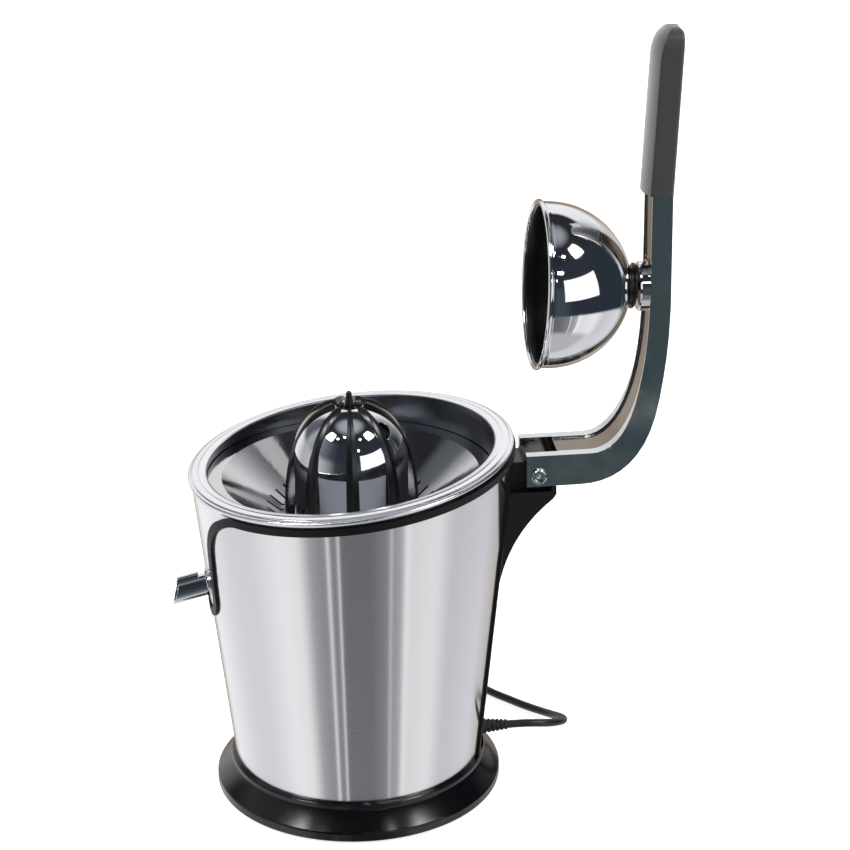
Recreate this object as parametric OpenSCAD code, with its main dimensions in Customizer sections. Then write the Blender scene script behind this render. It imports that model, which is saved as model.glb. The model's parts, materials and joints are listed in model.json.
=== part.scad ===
// Electric citrus juicer with a lever arm, a press cup, a ribbed reamer and a flip-up spout.
// Origin on the body's axis at table level, +Z up, spout towards -Y, lever hinge towards +Y.

/* [Base] */
// Radius of the black skirt near the table
base_r = 87.5; // [84:0.5:92]
// Height of the skirt, up to the lower edge of the sleeve
base_h = 20.8; // [19:0.2:22]
// Height of the skirt's upright band at the table
base_band = 6; // [4:0.2:7]
// Height of the skirt's upright neck under the sleeve
base_neck = 5.2; // [4:0.2:6]
// Height of the rubber feet below the skirt
foot_h = 1.2; // [0.8:0.1:1.6]
// Radius of a rubber foot
foot_r = 8; // [6:0.5:8]
// Radius of the circle that the feet stand on
foot_ring_r = 60; // [52:1:60]

/* [Body] */
// Radius of the steel sleeve at its lower edge
sleeve_r = 75.6; // [75:0.1:77]
// Growth of the body's radius per millimetre of height
body_taper = 0.1055; // [0.1:0.0005:0.108]
// Thickness of the steel sleeve
skin_t = 1.2; // [0.8:0.1:1.4]
// Wall of the moulded inner housing
housing_t = 2.6; // [2:0.1:3]
// Height at which the inner housing ends and the collar starts
collar_low_z = 176; // [174:0.5:178]

/* [Rim] */
// Height of the rim on the body's axis
rim_z = 214.5; // [213:0.5:217]
// Radius of the rim's outer edge
rim_r = 97.6; // [96.5:0.1:99]
// Width of the rim, from its outer edge to the opening
rim_w = 11.6; // [11.2:0.1:12.4]
// Slope of the rim, down towards the spout, in degrees
slant = 5.5; // [5:0.1:6]
// Depth of the collar between the rim's edge and the trim
band_h = 3.5; // [3:0.1:4]
// Height of the black trim under the collar
trim_h = 4.7; // [4:0.1:6]
// How far the trim stands proud of the sleeve
trim_proud = 1.6; // [1.2:0.1:1.8]
// Half width of the collar's tongue round the spout, at its lower corners
tongue_hw = 25.3; // [24:0.1:26.5]
// Growth of that half width per millimetre of height
tongue_flare = 0.17; // [0.14:0.01:0.2]
// Height of the tongue's lower end
tongue_low_z = 126.2; // [124:0.1:126.4]
// Radius where the tongue runs into the rim's band
tongue_fillet = 44.7; // [42:0.1:46]
// Half width of the polished strip at the back
spine_hw = 25.5; // [24:0.5:27]
// Width of the black line on each side of that strip
spine_line = 2.4; // [1.5:0.1:3]

/* [Bowl] */
// Height of the strainer's flange
flange_z = 202.8; // [202:0.1:203.5]
// Sheet thickness of the strainer
sheet_t = 1.2; // [1:0.1:1.4]
// Height of the strainer's floor
strain_floor_z = 178; // [177:0.2:178.4]
// Radius of the strainer's floor
strain_floor_r = 44; // [42:0.5:46]
// Number of drain slots
slot_n = 36; // [24:1:40]
// Length of a drain slot
slot_l = 10; // [8:0.5:12]
// Width of a drain slot
slot_w = 1.8; // [1.4:0.1:2.2]
// Wall of the juice bowl
bowl_t = 2; // [1.6:0.1:2.4]
// Height of the juice bowl's floor
bowl_floor_z = 150; // [149.5:0.5:152]

/* [Spout] */
// Height of the spout's pivot
spout_z = 138; // [137:0.5:139]
// Distance of the spout's pivot from the body's axis
spout_y = 82; // [81.5:0.1:82.5]
// Outer radius of the spout
spout_r = 8.5; // [8:0.1:8.8]
// Bore radius of the spout
spout_bore = 7; // [6.5:0.1:7.3]
// Length of the spout from its pivot to its lower lip
spout_l = 30; // [26:0.5:34]
// Slope of the open spout in degrees
spout_slope = 13; // [11:0.5:14]
// Travel of the spout, up to its drip stop, in degrees
spout_travel = 25; // [15:1:25]
// Radius of the spout's trunnions
trunnion_r = 2; // [1.5:0.1:2.5]

/* [Reamer] */
// Radius of the reamer over its ribs
cone_r = 40.4; // [39.5:0.1:41]
// Height of the ribs' outline
cone_h = 68; // [66:0.5:69]
// Height of the reamer's foot
cone_z = 181; // [181:0.1:182]
// Radius of the plain wall below the dome
skirt_r = 37; // [36.4:0.1:37.6]
// Radius of the dome where it meets that wall
dome_r = 36.2; // [35.6:0.1:36.4]
// Height of the dome's lower edge above the foot
dome_z = 24; // [22:0.5:26]
// Height of the dome itself
dome_h = 38.5; // [38:0.5:39.5]
// Number of ribs
rib_n = 9; // [6:1:10]
// Width of a rib at the reamer's foot
rib_w = 8.4; // [7:0.2:9]
// Width of a rib next to the spike
rib_tip_w = 2.4; // [2:0.2:3.4]
// Height of the top of the spike
spike_z = 255; // [253:0.5:256]
// Travel of the reamer when fruit is pressed on it
press_travel = 2; // [1:0.1:2]

/* [Drive] */
// Tooth module of the two gears
gear_m = 1.5; // [1.5:0.05:1.55]
// Teeth on the motor's pinion
pinion_n = 15; // [15:1:15]
// Teeth on the drive gear
gear_n = 45; // [45:1:45]
// Face width of the gears
gear_w = 9; // [7:0.5:10]
// Radius of the drive shaft
shaft_r = 5; // [4.8:0.1:5.4]
// Width across the flats of the shaft's hexagons
hex_af = 8; // [7:0.1:8.2]
// Radius of the motor
motor_r = 26; // [24:0.5:27]
// Length of the motor
motor_l = 62; // [50:1:66]

/* [Lever] */
// Distance of the lever's hinge from the body's axis
hinge_y = 110.5; // [110:0.1:112]
// Height of the lever's hinge
hinge_z = 201; // [200.5:0.1:202]
// Radius of the hinge bolt
bolt_r = 3; // [2.5:0.1:3.5]
// Radius of the hinge bolt's head
bolt_head_r = 4.6; // [4:0.1:5.2]
// Half width of the fork at the hinge
fork_hw = 18; // [17:0.5:19]
// Half width of the gap in the fork
fork_gap = 11.5; // [10.5:0.5:12]
// Length of the fork in front of the bolt
fork_front = 7.2; // [6.5:0.1:7.5]
// Depth of the fork below the bolt
fork_under = 6.6; // [6:0.1:6.8]
// Height of the fork above the bolt
fork_over = 13; // [12.5:0.1:13.4]
// Half width of the upright arm
arm_hw = 12.6; // [11.5:0.1:14]
// Thickness of the upright arm
arm_t = 12; // [11:0.2:13]
// Distance from the hinge to the back of the upright arm
arm_back = 78.5; // [76:0.5:80]
// Height of the upright arm above the hinge, up to the grip
arm_top = 167.8; // [164:0.1:172]
// Length of the grip
grip_l = 97; // [90:1:104]
// Half width of the grip
grip_hw = 14.2; // [14:0.1:16]
// Depth of the grip
grip_d = 13.4; // [12.8:0.2:15]
// Swell of the grip's front face
grip_swell = 3; // [2:0.2:4]
// Lean of the grip in degrees
grip_lean = 3; // [0:0.5:4]

/* [Press cup] */
// Height of the cup's ball joint above the hinge
cup_up = 110; // [108:0.5:112]
// Radius of the cup outside, at its mouth
cup_r = 48.8; // [48:0.1:50]
// Depth of the cup's dome outside
cup_d = 49; // [48:0.5:50]
// Length of the straight lip at the mouth
cup_lip = 6; // [5:0.5:7]
// Sheet thickness of the cup
cup_t = 1.2; // [1:0.1:1.5]
// Thickness of the cup's liner
liner_t = 1.6; // [1.2:0.1:2]
// Upward lift of the raised cup's axis in degrees
cup_lift = 5.7; // [5:0.1:6.5]
// Upward lift of the axis of the boss behind it in degrees
boss_lift = 2; // [1:0.5:3]
// Radius of the ball that the cup rocks on
ball_r = 5; // [4.5:0.1:5.5]
// Radius of the chrome boss that holds the ball
boss_r = 14.5; // [14:0.1:15.5]
// Radius of the black rings between cup and boss
neck_r = 13.3; // [12.5:0.1:14]

/* [Cord] */
// Diameter of the power cord
cord_d = 5; // [4.6:0.1:5]
// Height at which the cord leaves the body
cord_z = 26; // [26:0.1:26.5]
// Length of the ribbed strain relief outside the body
relief_l = 20; // [20:0.5:24]

/* [Hidden] */
$fn = 96;
// Clearances: running fit, sliding faces, skins laid over the housing, loose pieces
run_gap = 0.05;
slide_gap = 0.3;
skin_gap = 0.2;
drop_gap = 0.5;

// Body outline
function skin_r(z) = sleeve_r + (z - base_h) * body_taper;
function housing_r(z) = skin_r(z) - skin_t - skin_gap;
function housing_in(z) = housing_r(z) - housing_t;
trim_top_z = rim_z - band_h;
trim_low_z = trim_top_z - trim_h;
top_z = rim_z + 20;
plate_proud = 0.3;
bore_r = rim_r - rim_w;
lip_r = sleeve_r + 2.6;
housing_low_z = base_h - 6.8;
ledge_r = housing_r(housing_low_z) - 3.5;
cover_r = base_r - 8;
cover_z = foot_h + 0.4;
cover_t = 2.6;
cover_screw_ring = cover_r - 5;
cover_screw_r = 1.5;
foot_sink = 1.2;

// Bowl and strainer stack, from the ledge in the collar upwards
flange_r = bore_r - 0.7;
bowl_flange_t = 1.6;
ledge_z = flange_z - sheet_t - bowl_flange_t;
ledge_t = 2.6;
bowl_r = flange_r - 5.3;
ledge_in = bowl_r + drop_gap;
hub_r = 12;
hub_bore = 9;
hub_top_z = 184;
bowl_tube_in = hub_r + drop_gap;
bowl_tube_r = bowl_tube_in + bowl_t;
bowl_tube_z = hub_top_z + 1;
strain_hole = bowl_tube_r + drop_gap;
strain_collar_z = bowl_tube_z + 1;
strain_lip_r = bowl_r - bowl_t - drop_gap;

// Sump under the bowl that leads to the spout
pivot_clear = 0.4;
spout_end_r = spout_r + 1;
sump_front = spout_y - spout_end_r - pivot_clear - 4.1;
sump_back = sump_front - 22;
sump_hw = spout_bore + 4;
sump_low_z = spout_z - spout_bore - bowl_t;
outlet_r = spout_bore - 0.5;
cheek_in = spout_r + 0.9;
cheek_t = 4.2;
window_r = spout_r + 0.5;

// Drive levels
deck_z = sump_low_z - 4.4;
deck_t = 3;
plate_z = deck_z - 26.6;
plate_t = 3;
gear_z = plate_z + plate_t + 3;
gear_hub_r = hex_af / 2 / cos(30) + 3.8;
gear_hub_top = deck_z - 4.6;
journal_r = gear_hub_r - 2;
centre_gap = gear_m * (pinion_n + gear_n) / 2;
motor_shaft_r = 3;
plate_ledge_r = centre_gap + motor_r + 2.5;
plate_r = housing_in(plate_z) - slide_gap;
plate_screw_ring = plate_r - 2.8;
shoulder_r = shaft_r + 3;
bush_z = deck_z + deck_t + 15.7;
shoulder_z = bush_z - slide_gap - 3;
cone_seat_z = cone_z + 9;
hex_top_z = cone_seat_z + 45;
spindle_low_z = plate_z - 5;
switch_hw = 10;
switch_hd = 4;
switch_top_z = spindle_low_z - 4.5;
switch_h = 10.5;
plunger_r = 1.6;
plunger_l = 6.4;

// Hinge and lever
ear_gap = slide_gap;
lug_hw = fork_gap - ear_gap;
lug_r = 11;
web_y = hinge_y + lug_r + 1.3;
corner_r = sqrt(fork_front * fork_front + fork_under * fork_under);
shelf_z = hinge_z - corner_r - 0.4;
stop_y = hinge_y + 7.8;
stop_end_y = stop_y + 2.8;
stop_z = hinge_z - fork_under - slide_gap;
fork_low_z = hinge_z - fork_under;
fork_top_z = hinge_z + fork_over;
back_y = hinge_y + arm_back;
front_y = back_y - arm_t;
grip_z = hinge_z + arm_top;
cup_pivot_z = hinge_z + cup_up;
boss_front = 3.6;
cup_pivot_y = front_y - 2.6;
neck_back = boss_front + 1.6;
neck_l = 2.6;
cup_plane = neck_back + neck_l - 0.2 + cup_d;
spigot_r = 7;
neck_spigot_r = 6;
grip_front_y = back_y - grip_d + 0.8;
tang_hw = 9;
tang_t = 7;
tang_l = grip_l - 22;

// Cord: strain relief, free stretch, put-away coil, plug
cord_r = cord_d / 2;
relief_y = skin_r(cord_z) + relief_l;
relief_hole = 4.2;
coil_at = [-124, 46];
coil_mid_d = 58;
coil_pitch = cord_d + 1.3;
coil_layer = 2.375;
coil_climb = 0.5;
coil_out_r = coil_mid_d / 2 + coil_layer * coil_pitch / 2;
coil_in_r = coil_mid_d / 2 - coil_layer * coil_pitch / 2;
tie_t = 1;
coil_z = tie_t + skin_gap + cord_r;
plug_t = 15;
plug_at = [coil_at[0] - coil_out_r, 20, plug_t / 2];
cord_route = [[0, 104, 26], [0, 111, 25.6], [-2, 119, 24], [-7, 126, 21.4], [-15, 131, 17.8],
    [-25, 133, 13.6], [-36, 131.5, 9.5], [-47, 127, 6], [-57, 120.5, 4], [-66, 112.5, 3.4],
    [-75, 104.5, 3.4], [-84, 96.5, 3.4], [-94, 89.5, 3.5], [-104, 85, 3.6], [-112, 83, 3.7]];

// Small shared shapes
module ring(r_in, r_out, z0, z1) {
    translate([0, 0, z0]) rotate_extrude() translate([r_in, 0]) square([r_out - r_in, z1 - z0]);
}
module skin_band(inner, outer, z0, z1) {
    rotate_extrude() polygon([[skin_r(z0) + inner, z0], [skin_r(z0) + outer, z0],
        [skin_r(z1) + outer, z1], [skin_r(z1) + inner, z1]]);
}
module under_plane(z) {
    translate([0, 0, z]) rotate([slant, 0, 0]) translate([-200, -200, -400]) cube([400, 400, 400]);
}
module along_y(from, to, z) {
    translate([0, from, z]) rotate([-90, 0, 0]) linear_extrude(to - from) children();
}
module rod_y(r, from, to, x, z) {
    translate([x, from, z]) rotate([-90, 0, 0]) cylinder(r = r, h = to - from);
}
module rod_x(r, from, to, y, z) {
    translate([from, y, z]) rotate([0, 90, 0]) cylinder(r = r, h = to - from);
}
module side_plate(from, to) {
    translate([from, 0, 0]) rotate([90, 0, 90]) linear_extrude(to - from) children();
}
module hexagon(af) {
    circle(r = af / 2 / cos(30), $fn = 6);
}
function bezier(a, b, c, d, n) = [for (i = [0:n]) let (t = i / n, s = 1 - t)
    s * s * s * a + 3 * s * s * t * b + 3 * s * t * t * c + t * t * t * d];
function ease(t) = t * t * (3 - 2 * t);

// Front outline of the collar's tongue, seen from the spout's side, grown by grow
module tongue_outline(grow) {
    low = tongue_low_z - grow;
    corner = 14 + grow;
    fillet = tongue_fillet - grow;
    lean = atan(tongue_flare);
    edge_r = skin_r(trim_top_z) - skin_t - 2;
    reach = tongue_hw + tongue_flare * 22 + fillet / cos(lean) + grow;
    edge_z = trim_top_z - (grow > 0 ? trim_h : 0) - sqrt(edge_r * edge_r - reach * reach) * tan(slant);
    turn_z = edge_z - fillet + fillet * sin(lean);
    foot_z = low + corner;
    function side_x(z) = reach - fillet / cos(lean) + (z - edge_z + fillet) * tongue_flare;
    polygon([[-side_x(foot_z), foot_z], [side_x(foot_z), foot_z], [side_x(edge_z + 3), edge_z + 3],
        [-side_x(edge_z + 3), edge_z + 3]]);
    translate([corner - side_x(foot_z), low]) square([2 * (side_x(foot_z) - corner), corner + 1]);
    for (s = [-1, 1]) translate([s * (side_x(foot_z) - corner), low + corner]) circle(corner);
    for (s = [0, 1]) mirror([s, 0]) difference() {
        polygon([[side_x(turn_z) - 1, turn_z], [reach, turn_z], [reach, edge_z + 3],
            [side_x(edge_z + 3) - 1, edge_z + 3]]);
        translate([reach, edge_z - fillet]) circle(fillet);
    }
}
module tongue_prism(grow) {
    rotate([90, 0, 0]) linear_extrude(rim_r + 20) tongue_outline(grow);
}
// Opening for the spout at both ends of its travel
module spout_window() {
    reach = 7.2;
    lower = -sin(spout_slope) * reach;
    upper = sin(spout_travel - spout_slope) * reach;
    translate([0, -spout_y + 3, spout_z]) rotate([90, 0, 0]) linear_extrude(40) {
        translate([0, lower]) circle(window_r);
        translate([0, upper]) circle(window_r);
        translate([-window_r, lower]) square([2 * window_r, upper - lower]);
    }
}
module at_spout() {
    translate([0, -spout_y, spout_z]) rotate([spout_slope, 0, 0]) children();
}
module at_boss() {
    translate([0, cup_pivot_y, cup_pivot_z]) rotate([90 - boss_lift, 0, 0]) children();
}
module at_cup() {
    translate([0, cup_pivot_y, cup_pivot_z]) rotate([90 - cup_lift, 0, 0]) children();
}

// Base
module base_ring() {
    low = foot_h;
    bend = foot_h + base_band;
    high = base_h - base_neck;
    flare = [for (i = [0:8]) let (t = i / 8)
        [lip_r + (base_r - lip_r) * pow(1 - t, 1.4), bend + (high - bend) * t]];
    color("#101012") difference() {
        rotate_extrude() polygon(concat(
            [[cover_r + skin_gap, low], [base_r - 1, low], [base_r, low + 1]], flare,
            [[lip_r, base_h], [housing_r(base_h) + slide_gap, base_h],
             [housing_r(housing_low_z) + slide_gap, housing_low_z], [ledge_r, housing_low_z],
             [ledge_r, cover_z + cover_t], [cover_r + skin_gap, cover_z + cover_t]]));
        for (a = [45:90:315]) rotate(a) translate([cover_screw_ring, 0, 0])
            cylinder(r = cover_screw_r, h = 10);
    }
}
module bottom_cover() {
    color("#1b1b1d") difference() {
        translate([0, 0, cover_z]) cylinder(r = cover_r, h = cover_t);
        for (at = foot_at) translate([at[0], at[1], 0])
            cylinder(r = foot_r + 0.1, h = cover_z + foot_sink);
        for (a = [45:90:315]) rotate(a) translate([cover_screw_ring, 0, 0]) {
            cylinder(r = cover_screw_r + 0.2, h = 10);
            cylinder(r = 3.4, h = cover_z + 1.2);
        }
        for (a = [0:18:342]) rotate(a) translate([22, -1.2, 0]) cube([18, 2.4, 10]);
    }
}
// Four feet near the edge and one under the middle, where the press load comes down
foot_at = concat([[0, 0]], [for (a = [0:90:270]) [foot_ring_r * cos(a), foot_ring_r * sin(a)]]);
module rubber_feet() {
    color("#262626") for (at = foot_at) translate([at[0], at[1], 0])
        rotate_extrude() polygon([[0, 0], [foot_r - 0.8, 0], [foot_r, 0.8],
            [foot_r, cover_z + foot_sink], [0, cover_z + foot_sink]]);
}
module cover_screws() {
    color("#8c8f94") for (a = [45:90:315]) rotate(a) translate([cover_screw_ring, 0, 0]) {
        difference() {
            translate([0, 0, cover_z]) cylinder(r = 3, h = 1.2);
            translate([-2.4, -0.4, 0]) cube([4.8, 0.8, cover_z + 0.6]);
            translate([-0.4, -2.4, 0]) cube([0.8, 4.8, cover_z + 0.6]);
        }
        translate([0, 0, cover_z + 1.2]) cylinder(r = cover_screw_r, h = 7);
    }
}

// Moulded inner housing with the deck and the shaft's hub, and its front panel with the spout's cheeks
mount_hw = 20;
mount_low_z = deck_z + deck_t;
mount_top_z = collar_low_z - 4;
module mount_space(grow) {
    translate([-mount_hw - grow, -rim_r, mount_low_z - grow])
        cube([2 * (mount_hw + grow), rim_r - sump_front + 10, mount_top_z - mount_low_z + 2 * grow]);
}
module housing_wall() {
    rotate_extrude() polygon([[housing_in(housing_low_z), housing_low_z],
        [housing_r(housing_low_z), housing_low_z], [housing_r(collar_low_z), collar_low_z],
        [housing_in(collar_low_z), collar_low_z]]);
}
module housing_cuts() {
    spout_window();
    translate([0, -spout_y, 0]) rod_x(trunnion_r + run_gap, -30, 30, 0, spout_z);
    rod_y(relief_hole, 0, 100, 0, cord_z);
    for (z = bracket_screw_z) rod_y(bracket_screw_r + skin_gap, 0, 120, 0, z);
    for (a = plate_screw_a) rotate(a) translate([plate_screw_ring, 0, plate_z - 6])
        cylinder(r = plate_screw_r, h = 8);
}
module inner_housing() {
    color("#3a3c40") difference() {
        union() {
            housing_wall();
            ring(bore_r - 1, housing_in(collar_low_z) + 1, collar_low_z - 3.6, collar_low_z);
            ring(hub_bore, housing_in(deck_z) + 1, deck_z, deck_z + deck_t);
            ring(hub_bore, hub_r, deck_z, hub_top_z);
            ring(plate_ledge_r, housing_in(plate_z) + 1, plate_z - 3, plate_z);
        }
        mount_space(0);
        housing_cuts();
    }
}
module spout_mount() {
    color("#4a4c50") difference() {
        union() {
            intersection() {
                housing_wall();
                mount_space(-run_gap);
            }
            for (s = [0, 1]) mirror([s, 0, 0]) difference() {
                translate([cheek_in, -housing_r(spout_z) + 1, spout_z - 8])
                    cube([cheek_t, housing_r(spout_z) - sump_front - 7, 16]);
                skin_band(-skin_t - skin_gap, 20, spout_z - 20, spout_z + 20);
            }
        }
        housing_cuts();
    }
}

// Steel sleeve, its trim, the collar with the rim, and the strip at the back
module rear_box(hw) {
    translate([-hw, 0, 0]) cube([2 * hw, rim_r + 20, top_z]);
}
module body_sleeve() {
    color("#c9cacc") difference() {
        intersection() {
            skin_band(-skin_t, 0, base_h, top_z);
            under_plane(trim_low_z);
        }
        tongue_prism(trim_h);
        rear_box(spine_hw + spine_line);
    }
}
module edge_trim() {
    color("#141416") intersection() {
        skin_band(-skin_t, trim_proud, base_h, top_z);
        union() {
            difference() {
                under_plane(trim_top_z);
                under_plane(trim_low_z);
                tongue_prism(0);
            }
            intersection() {
                under_plane(trim_low_z);
                difference() {
                    tongue_prism(trim_h);
                    tongue_prism(0);
                }
            }
            intersection() {
                under_plane(trim_low_z);
                difference() {
                    rear_box(spine_hw + spine_line);
                    rear_box(spine_hw);
                }
            }
        }
    }
}
module top_collar() {
    low = run_gap - band_h * cos(slant);
    rim = [[bore_r - 1, low], [bore_r - 1, 0.6], [bore_r + 1, 1.7], [bore_r + 2.4, 2.2],
        [bore_r + 4.4, 2.2], [bore_r + 4.9, 1.5], [bore_r + 5.5, 1.5], [bore_r + 6, 2],
        [rim_r - 2.9, 1.7], [rim_r - 2.5, 0.9], [rim_r - 0.7, 0.7], [rim_r, 0],
        [rim_r - 0.2, -1], [rim_r - 1.6, low]];
    color("#d9dadc") {
        difference() {
            union() {
                translate([0, 0, rim_z]) rotate([slant, 0, 0]) rotate_extrude() polygon(rim);
                intersection() {
                    skin_band(-2 * rim_w, -skin_t - skin_gap, collar_low_z, top_z);
                    under_plane(rim_z - 1);
                }
            }
            translate([0, 0, collar_low_z - 1]) cylinder(r = bore_r, h = 80);
        }
        ring(ledge_in, bore_r + 1, ledge_z - ledge_t, ledge_z);
    }
}
module front_plate() {
    color("#d9dadc") difference() {
        intersection() {
            skin_band(-skin_t, plate_proud, tongue_low_z - 2, top_z);
            under_plane(trim_top_z);
            tongue_prism(0);
        }
        spout_window();
    }
}
module rear_spine() {
    color("#d4d5d8") difference() {
        intersection() {
            skin_band(-skin_t, 0, base_h, top_z);
            under_plane(trim_low_z);
            rear_box(spine_hw);
        }
        rod_y(relief_hole, 0, 100, 0, cord_z);
        for (z = bracket_screw_z) rod_y(bracket_screw_r + skin_gap, 0, 120, 0, z);
    }
}

// Juice bowl with its sump, strainer with drain slots
module juice_bowl() {
    color("#b9bcc0") difference() {
        union() {
            rotate_extrude() polygon([[bowl_tube_in, bowl_floor_z - bowl_t],
                [bowl_r - 3, bowl_floor_z - bowl_t], [bowl_r, bowl_floor_z + 2], [bowl_r, ledge_z],
                [flange_r, ledge_z], [flange_r, ledge_z + bowl_flange_t],
                [bowl_r - bowl_t, ledge_z + bowl_flange_t], [bowl_r - bowl_t, bowl_floor_z + 3],
                [bowl_r - bowl_t - 3, bowl_floor_z], [bowl_tube_r, bowl_floor_z],
                [bowl_tube_r, bowl_tube_z], [bowl_tube_in, bowl_tube_z]]);
            translate([-sump_hw, -sump_front, sump_low_z])
                cube([2 * sump_hw, sump_front - sump_back, bowl_floor_z - bowl_t / 2 - sump_low_z]);
        }
        translate([bowl_t - sump_hw, bowl_t - sump_front, sump_low_z + bowl_t])
            cube([2 * (sump_hw - bowl_t), sump_front - sump_back - 2 * bowl_t, 40]);
        rod_y(outlet_r, -sump_front - 1, -sump_front + bowl_t + 1, 0, spout_z);
    }
}
module strainer() {
    inner = [[strain_hole, strain_collar_z], [strain_hole, strain_floor_z - sheet_t],
        [strain_floor_r, strain_floor_z - sheet_t], [strain_lip_r, flange_z - sheet_t],
        [flange_r, flange_z - sheet_t], [flange_r, flange_z], [strain_lip_r - 0.6, flange_z]];
    outer = [[strain_floor_r - 0.5, strain_floor_z], [strain_hole + sheet_t, strain_floor_z],
        [strain_hole + sheet_t, strain_collar_z]];
    color("#c6c9cc") difference() {
        rotate_extrude() polygon(concat(inner, outer));
        for (i = [0:slot_n - 1]) rotate(i * 360 / slot_n)
            translate([strain_floor_r - 3, -slot_w / 2, strain_floor_z - 4])
                cube([slot_l, slot_w, 14]);
    }
}

// Spout: sloping tube with a slanted lip, a thumb ridge and two trunnions
module spout() {
    lip_cut = 6;
    color("#d8dadd") at_spout() difference() {
        union() {
            intersection() {
                rod_y(spout_r, -spout_l, spout_end_r, 0, 0);
                union() {
                    rod_x(spout_end_r, -20, 20, 0, 0);
                    translate([-20, -spout_l - 1, -20]) cube([40, spout_l + 1, 40]);
                }
            }
            translate([-3.5, -spout_l + lip_cut + 2.6, spout_r - 2])
                cube([7, spout_l - lip_cut - 14.1, 4.2]);
            for (s = [0, 1]) mirror([s, 0, 0])
                rod_x(trunnion_r, spout_bore + 0.5, cheek_in + cheek_t - 0.4, 0, 0);
        }
        rod_y(spout_bore, -spout_l - 1, spout_end_r + 1, 0, 0);
        side_plate(-20, 20) polygon([[-spout_l - 1, -spout_r], [-spout_l, -spout_r],
            [-spout_l + lip_cut, spout_r + 5], [-spout_l - 1, spout_r + 5]]);
    }
}
module spout_seal() {
    color("#2a2a2c") difference() {
        rod_y(spout_r + 0.7, -sump_front - 6, -sump_front, 0, spout_z);
        rod_y(outlet_r, -sump_front - 10, -sump_front + 1, 0, spout_z);
        rod_x(spout_end_r + pivot_clear, -20, 20, -spout_y, spout_z);
    }
}

// Hinge bracket with its sweeping gusset, and the screws that hold it from inside
bracket_screw_r = 2;
bracket_screw_z = [156, 167];
bracket_tip_z = 129.5;
module hinge_bracket() {
    root_y = skin_r(bracket_tip_z) - 12;
    tip_y = skin_r(bracket_tip_z) - 1;
    sweep = bezier([tip_y, bracket_tip_z], [tip_y + 5, bracket_tip_z + 26],
        [stop_end_y - 18, shelf_z - 18], [stop_end_y - 2, shelf_z - 5], 12);
    color("#151516") difference() {
        union() {
            side_plate(-fork_hw, fork_hw) polygon(concat([[root_y, bracket_tip_z]], sweep,
                [[stop_end_y, shelf_z - 2], [stop_end_y, stop_z], [stop_y, stop_z],
                 [stop_y - 0.3, shelf_z], [root_y, shelf_z]]));
            side_plate(-lug_hw, lug_hw) {
                translate([hinge_y, hinge_z]) circle(lug_r);
                translate([root_y, shelf_z - 1]) square([hinge_y - root_y, hinge_z + lug_r - 3 - shelf_z]);
            }
        }
        skin_band(-60, run_gap, bracket_tip_z - 10, top_z);
        rod_x(bolt_r + run_gap, -30, 30, hinge_y, hinge_z);
        for (z = bracket_screw_z)
            rod_y(bracket_screw_r, 0, skin_r(z) + (z - bracket_tip_z) * 0.2 - 2, 0, z);
    }
}
module bracket_screws() {
    color("#8c8f94") for (z = bracket_screw_z) {
        seat = housing_in(z - 4);
        rod_y(4, seat - 3, seat - skin_gap, 0, z);
        rod_y(bracket_screw_r, seat - 1, skin_r(z) + (z - bracket_tip_z) * 0.2 - 2.6, 0, z);
    }
}

// Drive: plate, motor, gears, shaft, return spring, start switch
plate_screw_r = 1.5;
plate_screw_a = [0, 90, 180];
module gear_outline(n, clear) {
    pitch_r = gear_m * n / 2;
    base = pitch_r * cos(20);
    tip_r = pitch_r + 0.85 * gear_m;
    root_r = pitch_r - 1.15 * gear_m;
    half = 90 / n - clear / pitch_r * 90 / PI;
    inv20 = tan(20) * 180 / PI - 20;
    low_r = max(base, root_r);
    flank = [for (k = [0:3]) let (r = low_r + (tip_r - low_r) * k / 3, a = acos(min(1, base / r)))
        [r, half + inv20 - tan(a) * 180 / PI + a]];
    polygon([for (i = [0:n - 1]) let (c = i * 360 / n)
        for (p = concat([[root_r, -flank[0][1]]], [for (f = flank) [f[0], -f[1]]],
            [for (k = [3:-1:0]) flank[k]], [[root_r, flank[0][1]]]))
            p[0] * [cos(c + p[1]), sin(c + p[1])]]);
}
module gear_plate() {
    color("#a9acb0") difference() {
        translate([0, 0, plate_z]) cylinder(r = plate_r, h = plate_t);
        translate([0, 0, plate_z - 1]) cylinder(r = journal_r + run_gap, h = plate_t + 2);
        translate([0, -centre_gap, plate_z - 1]) cylinder(r = 7, h = plate_t + 2);
        for (a = plate_screw_a) rotate(a) translate([plate_screw_ring, 0, plate_z - 1])
            cylinder(r = plate_screw_r + 0.1, h = plate_t + 2);
        for (s = [-1, 1]) translate([s * 40, 30, plate_z - 1]) cylinder(r = 14, h = plate_t + 2);
    }
}
module plate_screws() {
    color("#8c8f94") for (a = plate_screw_a) rotate(a) translate([plate_screw_ring, 0, plate_z]) {
        translate([0, 0, plate_t]) cylinder(r = 2.6, h = 1.8);
        translate([0, 0, -2.6]) cylinder(r = plate_screw_r, h = plate_t + 2.6);
    }
}
module gear_motor() {
    color("#5b5f66") translate([0, -centre_gap, plate_z]) difference() {
        union() {
            translate([0, 0, -motor_l]) cylinder(r = motor_r, h = motor_l - 8);
            translate([0, 0, -9]) cylinder(r = motor_r - 3, h = 9);
            translate([0, 0, -motor_l - 4]) cylinder(r = 9, h = 5);
        }
        translate([0, 0, -motor_l - 10]) cylinder(r = motor_shaft_r + run_gap, h = motor_l + 20);
        for (a = [0:45:315]) rotate(a) translate([motor_r - 2, -2, -motor_l + 8]) cube([4, 4, 26]);
    }
}
module motor_shaft() {
    color("#b5b8bb") translate([0, -centre_gap, plate_z - motor_l - 6])
        cylinder(r = motor_shaft_r, h = motor_l + 6 + gear_z - plate_z + gear_w + 1);
}
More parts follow.
